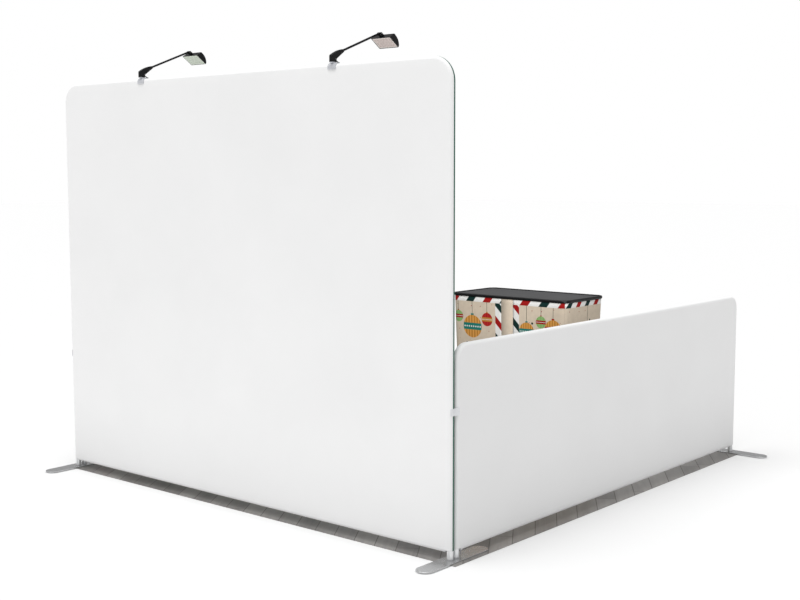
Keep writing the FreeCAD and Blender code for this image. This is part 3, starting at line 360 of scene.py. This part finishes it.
def cover_panel(name, half, top, bend, side, turn, x, y):
    """One panel: a flat face, a rim round the frame's edge to the seam, and the hem under the tube."""
    points, uv, faces = [], [], []

    def add(across, deep, up, map_u, map_v):
        points.append((across, side * deep, up))
        uv.append((map_u, map_v))
        return len(points) - 1

    def strip(first, second, flip):
        for index in range(len(first) - 1):
            quad = (first[index], first[index + 1], second[index + 1], second[index])
            faces.append(quad[::-1] if flip else quad)

    arc_steps = 14
    arc = [math.radians(90 * step / arc_steps) for step in range(arc_steps + 1)]
    columns = [
        (-half + bend * (1 - math.cos(turned)), top - bend + bend * math.sin(turned)) for turned in arc]
    hem_half = half - hem_half_gap
    middle_steps = 60
    middle = half - bend
    columns += [(-middle + 2 * middle * step / middle_steps, top) for step in range(1, middle_steps)]
    columns += [(-across, up) for across, up in reversed(columns[:arc_steps + 1])]
    columns += [(-hem_half, columns[0][1]), (hem_half, columns[0][1])]
    columns = sorted(set(columns))
    for index, (across, up) in enumerate(columns):
        if abs(abs(across) - hem_half) < tiny:
            lean = math.acos(1 - (half - abs(across)) / bend)
            columns[index] = (across, top - bend + bend * math.sin(lean))
    rows = 44
    grid = []
    for across, up in columns:
        column = []
        for row in range(rows + 1):
            level = tube_cover + (up - tube_cover) * row / rows
            column.append(add(across, tube_cover, level, across, level))
        grid.append(column)
    for first, second in zip(grid, grid[1:]):
        strip(first, second, side < 0)

    legs = []
    for group in (grid[:], grid[::-1]):
        corner = [column for column in group if abs(points[column[0]][0]) >= hem_half - tiny
                  and points[column[0]][0] * points[group[0][0]][0] > 0]
        lower = []
        for column in corner:
            across = points[column[0]][0]
            levels = [tube_cover * share for share in post_levels]
            lower.append([add(across, tube_cover, level, across, level) for level in levels])
        for index in range(len(corner) - 1):
            first = lower[index] + corner[index][:1]
            second = lower[index + 1] + corner[index + 1][:1]
            strip(first, second, (side < 0) == (points[group[0][0]][0] < 0))
        legs.append(lower[0])
    path = legs[0] + grid[0] + [column[-1] for column in grid[1:-1]] + grid[-1][::-1] + legs[1][::-1]
    ring = path
    outward = []
    for vertex in path:
        across, _, up = points[vertex]
        if up <= top - bend + tiny:
            outward.append((math.copysign(1, across), 0.0))
        elif abs(across) <= middle:
            outward.append((0.0, 1.0))
        else:
            centre = math.copysign(middle, across)
            outward.append(((across - centre) / bend, (up - top + bend) / bend))
    rim_steps = 9
    for step in range(1, rim_steps + 1):
        angle = rim_turn(side) * step / rim_steps
        following = []
        for vertex, (out_x, out_z) in zip(path, outward):
            across, _, up = points[vertex]
            reach = tube_cover * math.sin(angle)
            walked = tube_cover * angle
            following.append(add(
                across + out_x * reach, tube_cover * math.cos(angle), up + out_z * reach,
                across + out_x * walked, up + out_z * walked))
        strip(ring, following, side > 0)
        ring = following

    hem = [column[0] for column in grid if abs(points[column[0]][0]) <= hem_half + tiny]
    edge = hem
    hem_steps = 6
    for step in range(1, hem_steps + 1):
        angle = hem_turn * step / hem_steps
        following = []
        for vertex in hem:
            across = points[vertex][0]
            following.append(add(
                across, tube_cover * math.cos(angle), tube_cover * (1 - math.sin(angle)),
                across, tube_cover * (1 - angle)))
        strip(edge, following, side < 0)
        edge = following

    piece = plain_mesh(name, points, faces, uv)
    piece.data.transform(wall_place(turn, x, y))
    return thicken(piece, cloth_thick)


def knit(point, scale=1500.0):
    """Fine knit: two crossed sets of small ridges, about 0.5."""
    ridge = {"wave_type": "BANDS", "bands_direction": "DIAGONAL"}
    first = point.node("TexWave", ridge, {"Vector": point, "Scale": scale, "Distortion": 1.5}, out=1)
    mirrored = point.node("Mapping", {}, {"Vector": point, "Rotation": (0.0, 0.0, math.radians(90))})
    second = point.node("TexWave", ridge, {"Vector": mirrored, "Scale": scale, "Distortion": 1.5}, out=1)
    return first * 0.5 + second * 0.5


def set_cloth(material, colour, weave, roughness, sheen=0.08, gloss=0.25):
    """Finish a knitted cloth: its colour, a matt face with the weave in it, and a little sheen."""
    return set_finish(
        material, Base_Color=colour, Roughness=weave * 0.1 + roughness, Sheen_Weight=sheen,
        Sheen_Roughness=0.5, Specular_IOR_Level=gloss, Normal=bump(weave, 0.12, 0.0003))


# White cloth: evenly knitted, with painted shade that makes it a little greyer towards its hem.
painted_shade_height = 0.5
painted_shade_most = 0.38
white_cloth, cloth_point, (_, _, cloth_up) = new_finish("white_cloth")
cloth_weave = knit(cloth_point)
cloth_cloud = cloth_point.noise(2.2, 4.0)
cloth_tone = cloth_weave * 0.25 + cloth_cloud * 0.75
cloth_colour = cloth_tone.ramp((0.25, (0.84, 0.84, 0.84)), (0.75, (0.88, 0.88, 0.88)))
# Painted shade: the cloth is mixed towards grey over the lowest half metre, most at the floor.
cloth_painted_shade = (1 - cloth_up.step(0.0, painted_shade_height)) * painted_shade_most
cloth_colour = cloth_painted_shade.paint(cloth_colour, (0.70, 0.70, 0.70))
set_cloth(white_cloth, cloth_colour, cloth_weave, 0.78)

# Inside print: green with falling snow, a white field low down, and slanted stripes along the foot.
green_low = (0.016, 0.066, 0.047)
green_high = (0.028, 0.118, 0.083)
seam_green = (0.026, 0.112, 0.078)
pale_side = 1.37
pale_top = 0.07
seam_side = 1.444
print_edge = 0.001
candy_red = (0.29, 0.006, 0.005)
chalk_white = (0.70, 0.69, 0.67)
pine_green = (0.003, 0.022, 0.019)


def candy_stripes(across, up, pitch, lean):
    """White ground with red and green slanted stripes by turns."""
    slant = (across + up * lean) / pitch
    stripe = slant.maths("FRACT")
    bar = 1 - (stripe - 0.5).maths("ABSOLUTE").step(0.21, 0.23)
    turn_about = (slant / 2.0).maths("FRACT").step(0.499, 0.501)
    return bar.paint(chalk_white, turn_about.paint(candy_red, pine_green))


def snow(across, up, cell, radius, point):
    """Round dots, one to a cell, each off its cell's middle and of its own size."""
    cell_x = (across / cell).maths("FLOOR")
    cell_y = (up / cell).maths("FLOOR")
    scatter = {"noise_dimensions": "2D"}
    where = cell_x.vector(cell_y, 0.0)
    chance_a = point.node("TexWhiteNoise", scatter, {"Vector": where})
    chance_b = point.node("TexWhiteNoise", scatter, {"Vector": cell_y.vector(cell_x + 37.0, 0.0)})
    away_x = (across / cell).maths("FRACT") - (chance_a * 0.5 + 0.25)
    away_y = (up / cell).maths("FRACT") - (chance_b * 0.5 + 0.25)
    away = (away_x * away_x + away_y * away_y).maths("SQRT") * cell
    size = chance_b * (0.6 * radius) + 0.4 * radius
    return 1 - (away / size).step(0.9, 1.1)


def printed_cloth(name, height, border, pale_edge):
    """An inner panel's print, mapped in metres across and up from the hem; low walls have a pale edge."""
    material, point, (across, up, _) = new_finish(name, "UV")
    weave = knit(point)
    fade = up.step(0.0, height)
    ground = fade.paint(green_low, green_high)
    large = snow(across, up, 0.21, 0.020, point)
    small = snow(across + 3.1, up + 1.7, 0.11, 0.007, point)
    flakes = large.maths("MAXIMUM", small * 0.8)
    colour = flakes.paint(ground, chalk_white)
    swell = (across * 2.4).maths("SINE") * 0.045
    ripple = (across * 5.3 + 1.0).maths("SINE") * 0.022
    bank = up.below(swell + ripple + border * 2.2, 0.002)
    colour = bank.paint(colour, (0.74, 0.75, 0.76))
    colour = up.below(border, print_edge).paint(colour, candy_stripes(across, up, 0.128, 1.0))
    if pale_edge:
        from_side = across.maths("ABSOLUTE").above(pale_side, print_edge)
        from_top = up.above(height - pale_top, print_edge)
        colour = from_side.maths("MAXIMUM", from_top).paint(colour, (0.86, 0.86, 0.865))
    else:
        edge = across.maths("ABSOLUTE").above(seam_side, print_edge)
        colour = edge.paint(colour, seam_green)
    return set_cloth(material, colour, weave, 0.75)


wall_panels = (
    ("back", back_half, back_top, back_bend, 180, 0.0, back_line,
     printed_cloth("back_print", 2.27, 0.13, False)),
    ("left", side_half, side_top, side_bend, -90, -wall_post, side_line,
     printed_cloth("left_print", 0.96, 0.07, True)),
    ("right", side_half, side_top, side_bend, 90, wall_post, side_line,
     printed_cloth("right_print", 0.96, 0.07, True)),
)
for wall, half, top, bend, turn, x, y, inside_print in wall_panels:
    for layer, side, material, slot in (
        ("inner", 1, inside_print, "printed_cloth"),
        ("outer", -1, white_cloth, "white_cloth"),
    ):
        panel = cover_panel(f"{wall}_{layer}_panel", half, top, bend, side, turn, x, y)
        panel.data.materials.append(material)
        rim = tube_cover * rim_turn(side)
        hem_wrap = tube_cover * hem_turn
        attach(panel, "booth")
        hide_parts(f"{wall}_{layer}_cover")
        2 * (half + rim)
        top + rim - tube_cover + hem_wrap


# Zips: a moulded coil along each hem, closed from end to end, and a small enamelled slider with its pull.
# The coil's teeth are pressed onto the tape one by one, so they repeat along the hem.

def repeat_tree(name):
    """Geometry Nodes that set a small block at even steps along a path, turned to follow it."""
    tree = bpy.data.node_groups.new(name, "GeometryNodeTree")
    tree.interface.new_socket("Geometry", in_out="INPUT", socket_type="NodeSocketGeometry")
    tree.interface.new_socket("Spacing", in_out="INPUT", socket_type="NodeSocketFloat")
    tree.interface.new_socket("Block", in_out="INPUT", socket_type="NodeSocketVector")
    tree.interface.new_socket("Finish", in_out="INPUT", socket_type="NodeSocketMaterial")
    tree.interface.new_socket("Geometry", in_out="OUTPUT", socket_type="NodeSocketGeometry")
    add = tree.nodes.new
    link = tree.links.new
    given = add("NodeGroupInput")
    made = add("NodeGroupOutput")
    steps = add("GeometryNodeCurveToPoints")
    steps.mode = "LENGTH"
    block = add("GeometryNodeMeshCube")
    instances = add("GeometryNodeInstanceOnPoints")
    solid = add("GeometryNodeRealizeInstances")
    finish = add("GeometryNodeSetMaterial")
    link(given.outputs["Geometry"], steps.inputs["Curve"])
    link(given.outputs["Spacing"], steps.inputs["Length"])
    link(given.outputs["Block"], block.inputs["Size"])
    link(steps.outputs["Points"], instances.inputs["Points"])
    link(steps.outputs["Rotation"], instances.inputs["Rotation"])
    link(block.outputs["Mesh"], instances.inputs["Instance"])
    link(instances.outputs["Instances"], solid.inputs["Geometry"])
    link(solid.outputs["Geometry"], finish.inputs["Geometry"])
    link(given.outputs["Finish"], finish.inputs["Material"])
    link(finish.outputs["Geometry"], made.inputs["Geometry"])
    return tree


small_blocks = repeat_tree("small_blocks_along_path")


def blocks_along(name, paths, spacing, block, material):
    """Small blocks along open straight paths, as one plain mesh."""
    curve = bpy.data.curves.new(name + "_path", "CURVE")
    curve.dimensions = "3D"
    for path in paths:
        line = curve.splines.new("POLY")
        line.points.add(len(path) - 1)
        for point, place in zip(line.points, path):
            point.co = (*place, 1)
    piece = bpy.data.objects.new(name, curve)
    bpy.context.scene.collection.objects.link(piece)
    rule = piece.modifiers.new("repeat", "NODES")
    rule.node_group = small_blocks
    sockets = {
        item.name: item.identifier
        for item in small_blocks.interface.items_tree if item.in_out == "INPUT"}
    rule[sockets["Spacing"]] = spacing
    rule[sockets["Block"]] = block
    rule[sockets["Finish"]] = material
    plain = made_plain(piece)
    plain.name = name
    return plain


zip_plastic = moulded_plastic("zip_plastic", (0.72, 0.72, 0.73), 0.45)
dress(zip_plastic, "hem_zips")
dress(silver_coat("slider_enamel", (0.62, 0.62, 0.63), 0.32),
      "back_zip_slider", "left_zip_slider", "right_zip_slider")
zip_level = hem_height + 0.00002
zip_inset = 0.024
tooth_pitch = 0.0032
tooth_block = (0.0042, 0.00024, 0.0018)
back_reach = back_half - zip_inset
side_reach = side_half - zip_inset
zip_ends = {
    "back": [(sign * back_reach, back_line, zip_level) for sign in (-1, 1)],
    "left": [(-wall_post, side_line + sign * side_reach, zip_level) for sign in (-1, 1)],
    "right": [(wall_post, side_line + sign * side_reach, zip_level) for sign in (-1, 1)],
}
for wall, ends in zip_ends.items():
    teeth = blocks_along(f"{wall}_zip_teeth", [ends], tooth_pitch, tooth_block, zip_plastic)
    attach(teeth, "booth")


# Hem stitching: a row of white lock stitches above each hem, through the folded edge of the cloth.
# Each stitch is a short raised thread, and the rows run the length of the wall on both faces.

thread = moulded_plastic("sewing_thread", (0.80, 0.80, 0.80), 0.7, 4200.0)
stitch_rise = 0.012
stitch_lift = 0.0001
stitch_pitch = 0.0046
stitch_block = (0.0005, 0.0006, 0.0034)
for wall, half, _, _, turn, x, y, _ in wall_panels:
    rows = []
    for deep in (-tube_cover - stitch_lift, tube_cover + stitch_lift):
        ends = [Vector((sign * (half - hem_half_gap), deep, tube_cover + stitch_rise)) for sign in (-1, 1)]
        rows.append([tuple(wall_place(turn, x, y) @ end) for end in ends])
    stitches = blocks_along(f"{wall}_hem_stitches", rows, stitch_pitch, stitch_block, thread)
    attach(stitches, "booth")


# Corner clips: two moulded grey grips in one block, pushed over the ends of two walls to hold them square.
# The plastic is pale, with the fine grain of its mould.

dress(moulded_plastic("clip_plastic", (0.78, 0.79, 0.81), 0.38), "corner_clips")


# Arm lights: a grey saddle over the wall's top, a black driver housing, a rod, and a tilting lamp head.
# Housings, heads and levers are spark-textured black plastic, rods are enamelled steel on plain steel pins.

lamp_black = moulded_plastic("lamp_black", (0.008, 0.008, 0.009), 0.45, 1900.0, 0.2)
dress(moulded_plastic("saddle_grey", (0.56, 0.57, 0.60), 0.35), "left_lamp_clamp", "right_lamp_clamp")
dress(lamp_black, "left_lamp_housing", "right_lamp_housing", "left_lamp_head", "right_lamp_head",
      "left_lamp_lever", "right_lamp_lever")
dress(moulded_plastic("arm_enamel", (0.004, 0.004, 0.005), 0.35, 900.0, 0.15),
      "left_lamp_arm", "right_lamp_arm")
dress(bright_steel, "lamp_hinge_pins", "lamp_lever_pins")
dress(moulded_plastic("board_mask", (0.78, 0.78, 0.74), 0.5), "left_lamp_led_board", "right_lamp_led_board")

# Each lens is frosted: the lamps behind it show as faint darker dots, and its rim is paler than its middle.
head_tilt = math.radians(34.4)
lens_columns = 6
lens_rows = 3
dot_pitch_x = 0.0186
dot_pitch_y = 0.0219
lens_half_x = 0.0557
lens_half_y = 0.0329
rim_fade = (-0.0015, 0.0005)
# Painted glow: each lens gives off a weak light in its own colour, standing in for light falling on it.
lens_painted_glow = 0.4
for side, tint in (("right", (0.62, 0.67, 0.57)), ("left", (0.74, 0.62, 0.59))):
    low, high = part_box(f"{side}_lamp_lens")
    middle = (low + high) / 2
    frosted, lens_point, _ = new_finish(f"{side}_lens_frost")
    set_back = lens_point.node("Mapping", {"vector_type": "TEXTURE"}, {
        "Vector": lens_point, "Location": tuple(middle), "Rotation": (head_tilt, 0.0, 0.0)})
    lens_x, lens_y, _ = set_back.parts()
    dot_x = (lens_x / dot_pitch_x + 0.5 * lens_columns).maths("FRACT") - 0.5
    dot_y = (lens_y / dot_pitch_y + 0.5 * lens_rows).maths("FRACT") - 0.5
    dot = 1 - (dot_x * dot_x + dot_y * dot_y).maths("SQRT").step(0.06, 0.26)
    rim_x = (lens_x.maths("ABSOLUTE") - lens_half_x).step(*rim_fade)
    rim_y = (lens_y.maths("ABSOLUTE") - lens_half_y).step(*rim_fade)
    rim = rim_x.maths("MAXIMUM", rim_y)
    frost = lens_point.noise(900.0, 2.0)
    pale = tuple(min(1.25 * channel, 0.85) for channel in tint)
    lens_colour = rim.paint(dot.paint(tint, toned(tint, 0.80)), pale)
    # The lens colour is also used as a weak painted glow (emission), not light from the lamps.
    set_finish(
        frosted, Base_Color=lens_colour, Roughness=frost * 0.2 + 0.28, Emission_Color=lens_colour,
        Emission_Strength=lens_painted_glow, Normal=bump(frost, 0.1, 0.0002))
    dress(frosted, f"{side}_lamp_lens")


# Counter: a black laminated top on four poles, with a plain board shelf and base inside the cloth wrap.
# The top's board has a raised black rim with rolled edges, round a sunk face with a fine charcoal texture.

counter_x = -0.1375
counter_y = -1.0619
counter_floor = 0.003
laminate, top_point, (top_x, top_y, top_z) = new_finish("counter_laminate")
top_speckle = top_point.noise(1400.0, 2.0)
top_cloud = top_point.noise(5.0, 3.0)
top_low, top_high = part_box("counter_top")
tray_rim = 0.012
tray_depth = 0.006
tray_edge = 0.0004
tray_level = top_high.z - tray_depth
inside_x = (top_x - counter_x).within((top_high.x - top_low.x) / 2 - tray_rim, tray_edge)
inside_y = (top_y - counter_y).within((top_high.y - top_low.y) / 2 - tray_rim, tray_edge)
upper_face = (1 - (top_z - tray_level).step(0.0002, 0.0006)) * inside_x * inside_y
top_tone = top_speckle * 0.6 + top_cloud * 0.4
top_grey = top_tone.ramp((0.3, (0.030, 0.030, 0.031)), (0.7, (0.050, 0.050, 0.052)))
set_finish(
    laminate, Base_Color=upper_face.paint((0.004, 0.004, 0.0045), top_grey),
    Roughness=top_speckle * 0.15 + 0.42 + upper_face * 0.08, Specular_IOR_Level=0.25,
    Normal=bump(top_speckle, 0.12, 0.0002))
dress(laminate, "counter_top")

board, _, (board_x, board_y, board_z) = new_finish("plain_board")
board_grain = (board_x * 3.0).vector(board_y * 40.0, board_z * 40.0).noise(1.0, 5.0, 0.6)
board_colour = board_grain.ramp((0.3, (0.33, 0.22, 0.12)), (0.7, (0.50, 0.36, 0.22)))
set_finish(
    board, Base_Color=board_colour, Roughness=board_grain * 0.2 + 0.5, Normal=bump(board_grain, 0.15, 0.0003))
dress(board, "counter_base", "counter_shelf")


# Counter wrap: printed polyester pulled round the counter, with corner seams and two flaps at the back.
# The flaps leave a plain strip between them, which closes the wrap from behind.

wrap_half_x = 0.4638
wrap_half_y = 0.2368
wrap_corner = 0.051
wrap_low = 0.004
wrap_high = 0.9577
wrap_slope = math.tan(math.radians(1.5))
flap_edge = 0.0485
wrap_cloth = 0.0009
wrap_levels = 40


def wrap_panel(name, outline):
    """A panel of the wrap along part of its plan, mapped in metres along its top edge and down from it."""
    points, uv, faces = [], [], []
    walked = 0.0
    previous = None
    for corner_x, corner_y, reach_x, reach_y, flat_x, flat_y in outline:
        column = []
        for level in range(wrap_levels + 1):
            up = wrap_low + (wrap_high - wrap_low) * level / wrap_levels
            drawn = (wrap_high - up) * wrap_slope
            across = corner_x * (wrap_half_x - drawn - wrap_corner) * flat_x + reach_x * wrap_corner
            deep = corner_y * (wrap_half_y - drawn - wrap_corner) * flat_y + reach_y * wrap_corner
            column.append((across, deep, up))
        if previous is not None:
            walked += (Vector(column[-1]) - Vector(previous)).length
        previous = column[-1]
        for across, deep, up in column:
            points.append((counter_x + across, counter_y + deep, counter_floor + up))
            uv.append((walked, wrap_high - up))
    rows = wrap_levels + 1
    for strip in range(len(outline) - 1):
        for level in range(wrap_levels):
            first = strip * rows + level
            faces.append((first, first + rows, first + rows + 1, first + 1))
    return points, uv, faces


def corner_arc(corner_x, corner_y, start, stop):
    """Places on a round corner, between two angles."""
    steps = 7
    places = []
    for step in range(steps + 1):
        angle = math.radians(start + (stop - start) * step / steps)
        places.append((corner_x, corner_y, math.cos(angle), math.sin(angle), 1, 1))
    return places


def straight(corner_a, corner_b, reach, steps=24):
    """Evenly spaced places on a straight side, between two corners' tangent points."""
    places = []
    for step in range(1, steps):
        share = step / steps
        flat_x = corner_a[0] + (corner_b[0] - corner_a[0]) * share
        flat_y = corner_a[1] + (corner_b[1] - corner_a[1]) * share
        places.append((1, 1, reach[0], reach[1], flat_x, flat_y))
    return places


flap_share = flap_edge / (wrap_half_x - wrap_corner)
wrap_outlines = {
    "counter_front_wrap": (
        corner_arc(-1, -1, 225, 270) + straight((-1, -1), (1, -1), (0, -1)) + corner_arc(1, -1, 270, 315)),
    "counter_right_wrap": (
        corner_arc(1, -1, 315, 360) + straight((1, -1), (1, 1), (1, 0)) + corner_arc(1, 1, 0, 45)),
    "counter_right_flap": (
        corner_arc(1, 1, 45, 90) + straight((1, 1), (flap_share, 1), (0, 1)) + [(1, 1, 0, 1, flap_share, 1)]),
    "counter_left_flap": (
        [(1, 1, 0, 1, -flap_share, 1)] + straight((-flap_share, 1), (-1, 1), (0, 1))
        + corner_arc(-1, 1, 90, 135)),
    "counter_left_wrap": (
        corner_arc(-1, 1, 135, 180) + straight((-1, 1), (-1, -1), (-1, 0)) + corner_arc(-1, -1, 180, 225)),
}
sand = (0.565, 0.475, 0.375)
band_depth = 0.033
edge_width = 0.050
edge_pitch = 0.118
edge_start = 0.035
band_lean = 0.75
band_edge = 0.0006
thread_half = 0.0016


def sand_ground(point):
    """The wrap's sand-coloured ground, faintly mottled."""
    return point.noise(30.0, 3.0).ramp((0.3, toned(sand, 0.95)), (0.7, toned(sand, 1.04)))


def bauble(colour, across, down, middle_x, middle_y, radius, body, trim):
    """A round ornament on a thread: a ball with a belt, a ring of dots and a small cap."""
    away_x = across - middle_x
    away_y = down - middle_y
    away = (away_x * away_x + away_y * away_y).maths("SQRT")
    hung_by = away_x.within(thread_half, 0.0004) * away_y.below(-radius, 0.001)
    colour = hung_by.paint(colour, pine_green)
    cap_x = away_x.within(0.16 * radius, 0.0005)
    cap_y = (away_y + 1.04 * radius).within(0.10 * radius, 0.0005)
    colour = (cap_x * cap_y).paint(colour, trim)
    ball = away.below(radius, 0.0008)
    ribs = (away_x / radius * 21.0).maths("SINE").step(0.2, 0.6)
    belt = away_y.within(0.30 * radius, band_edge)
    light = tuple(min(1.5 * channel + 0.02, 0.9) for channel in body)
    shade = ribs.paint(body, light)
    belt_step = 0.24 * radius
    dot_x = ((away_x / belt_step).maths("FRACT") - 0.5) * belt_step
    dots = (dot_x * dot_x + away_y * away_y).maths("SQRT").below(0.07 * radius, 0.0005)
    shade = belt.paint(shade, trim)
    shade = dots.paint(shade, chalk_white)
    return ball.paint(colour, shade)


def sprinkle(colour, across, down, point):
    """Round dots of two sizes, spread over the ground."""
    large = snow(across + 2.0, down + 3.0, 0.17, 0.011, point)
    small = snow(across + 9.0, down + 5.0, 0.085, 0.0042, point)
    return small.paint(large.paint(colour, pine_green), candy_red)


def wrap_print(name, ornaments, pitch, start, edge_at=None):
    """The wrap's print: sand ground, hung ornaments, stripes under the top and down a flap's free edge."""
    material, point, (across, down, _) = new_finish(name, "UV")
    weave = knit(point)
    colour = sprinkle(sand_ground(point), across, down, point)
    for ornament in ornaments:
        colour = bauble(colour, across, down, *ornament)
    if edge_at is not None:
        upright = candy_stripes(down + edge_start, across, edge_pitch, -1.0)
        colour = (across - edge_at).within(edge_width, band_edge).paint(colour, upright)
    band = candy_stripes(across + start, down, pitch, band_lean)
    colour = down.below(band_depth, band_edge).paint(colour, band)
    return set_cloth(material, colour, weave, 0.72, 0.04, 0.12)


gold = (0.42, 0.19, 0.035)
teal = (0.012, 0.16, 0.13)
leaf = (0.17, 0.30, 0.10)
half_corner = wrap_corner * math.pi / 4
right_flap_length = half_corner + wrap_half_x - wrap_corner - flap_edge
hung_ornaments = {
    "counter_front_wrap": [
        (0.16, 0.26, 0.070, gold, teal), (0.32, 0.40, 0.052, candy_red, gold),
        (0.50, 0.29, 0.085, gold, pine_green), (0.68, 0.42, 0.052, leaf, candy_red),
        (0.82, 0.25, 0.066, gold, teal)],
    "counter_right_wrap": [(0.26, 0.34, 0.055, candy_red, gold)],
    "counter_left_wrap": [(0.26, 0.34, 0.055, leaf, gold)],
    "counter_right_flap": [
        (right_flap_length - 0.12, 0.150, 0.046, candy_red, gold),
        (right_flap_length - 0.245, 0.205, 0.078, gold, teal),
        (right_flap_length - 0.365, 0.140, 0.040, leaf, candy_red)],
    "counter_left_flap": [
        (0.11, 0.205, 0.060, gold, teal), (0.225, 0.135, 0.040, leaf, candy_red),
        (0.32, 0.180, 0.066, gold, candy_red)],
}
free_edges = {"counter_right_flap": right_flap_length, "counter_left_flap": 0.0}
top_stripes = {
    "counter_front_wrap": (0.140, 0.0), "counter_right_wrap": (0.108, 0.0),
    "counter_left_wrap": (0.108, 0.110), "counter_right_flap": (0.140, 0.046),
    "counter_left_flap": (0.150, -0.036),
}
for name, outline in wrap_outlines.items():
    points, uv, faces = wrap_panel(name, outline)
    panel = plain_mesh(name + "_cloth", points, faces, uv)
    along = max(pair[0] for pair in uv)
    foot = [Vector(point) for point in points[::wrap_levels + 1]]
    along_foot = sum((after - before).length for before, after in zip(foot, foot[1:]))
    panel.data.materials.append(
        wrap_print(name + "_print", hung_ornaments[name], *top_stripes[name], free_edges.get(name)))
    thicken(panel, wrap_cloth)
    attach(panel, "booth")
    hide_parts("counter_back_flaps" if name.endswith("flap") else name)
    (along + along_foot) / 2 * (wrap_high - wrap_low)

strip_half = 0.071
strip_inset = 0.0013
strip_points = []
strip_uv = []
for side in (1, -1):
    for level in range(wrap_levels + 1):
        up = wrap_low + (wrap_high - wrap_low) * level / wrap_levels
        deep = wrap_half_y - (wrap_high - up) * wrap_slope - strip_inset
        strip_points.append((counter_x + side * strip_half, counter_y + deep, counter_floor + up))
        strip_uv.append((side * strip_half, wrap_high - up))
strip_faces = [
    (level, level + wrap_levels + 1, level + wrap_levels + 2, level + 1) for level in range(wrap_levels)]
closing = plain_mesh("counter_closing_cloth", strip_points, strip_faces, strip_uv)
strip_cloth, strip_point, _ = new_finish("closing_cloth", "UV")
set_cloth(strip_cloth, sand_ground(strip_point), knit(strip_point), 0.72)
closing.data.materials.append(strip_cloth)
thicken(closing, wrap_cloth)
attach(closing, "booth")
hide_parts("counter_closing_strip")


# Studio: a plain pale floor, an even sky, a large soft light overhead and a soft lamp on the counter.
# The camera stands at the photograph's viewpoint, behind the corner of the walls.

studio_mesh = bpy.data.meshes.new("studio_floor")
studio_size = 60.0
studio_level = -0.0005
studio_corners = [
    (across * studio_size, deep * studio_size, studio_level)
    for across, deep in ((-1, -1), (1, -1), (1, 1), (-1, 1))]
studio_mesh.from_pydata(studio_corners, [], [(0, 1, 2, 3)])
studio_floor = bpy.data.objects.new("studio_floor", studio_mesh)
bpy.context.scene.collection.objects.link(studio_floor)
pale, _, _ = new_finish("studio_pale")
set_finish(pale, Base_Color=(0.78, 0.78, 0.78), Roughness=0.9, Specular_IOR_Level=0.1)
studio_mesh.materials.append(pale)

world = bpy.data.worlds.new("studio")
world.use_nodes = True
sky_tree = world.node_tree
sky = Shade(sky_tree, sky_tree.nodes.new("ShaderNodeTexCoord").outputs["Generated"])
seen = sky.node("LightPath", {}, {}, out=0)
sky_light = 0.43
sky_tree.links.new((seen + (1 - seen) * sky_light).socket, sky_tree.nodes["Background"].inputs["Strength"])
sky_tree.nodes["Background"].inputs["Color"].default_value = (1.0, 1.0, 1.0, 1.0)
bpy.context.scene.world = world
bpy.context.scene.view_settings.view_transform = "Standard"

key_height = math.radians(74)
key = bpy.data.lights.new("key", "SUN")
key.energy = 2.85
key.angle = math.radians(70)
key_light = bpy.data.objects.new("key", key)
key_light.rotation_euler = (key_height - math.pi / 2, 0.0, 0.0)
bpy.context.scene.collection.objects.link(key_light)

counter_lamp = bpy.data.lights.new("counter_lamp", "SPOT")
counter_lamp.energy = 1350.0
counter_lamp.spot_size = math.radians(11)
counter_lamp.spot_blend = 0.4
counter_lamp.shadow_soft_size = 0.25
counter_light = bpy.data.objects.new("counter_lamp", counter_lamp)
counter_light.location = (-4.2, 3.0, 3.4)
lamp_aim = Vector((counter_x, counter_y + 0.1, 1.08)) - counter_light.location
counter_light.rotation_mode = "QUATERNION"
counter_light.rotation_quaternion = lamp_aim.to_track_quat("-Z", "Y")
bpy.context.scene.collection.objects.link(counter_light)

camera_data = bpy.data.cameras.new("camera")
camera_data.lens = 55.323
camera_data.sensor_width = 36.0
camera_data.clip_end = 200.0
camera = bpy.data.objects.new("camera", camera_data)
camera.location = (-4.8898, 5.8822, 1.8071)
look = Vector((0.64353, -0.75842, -0.10331)).to_track_quat("-Z", "Y")
camera.rotation_mode = "QUATERNION"
camera_roll = math.radians(-0.057)
camera.rotation_quaternion = look @ Quaternion((0, 0, 1), camera_roll)
bpy.context.scene.collection.objects.link(camera)
bpy.context.scene.camera = camera
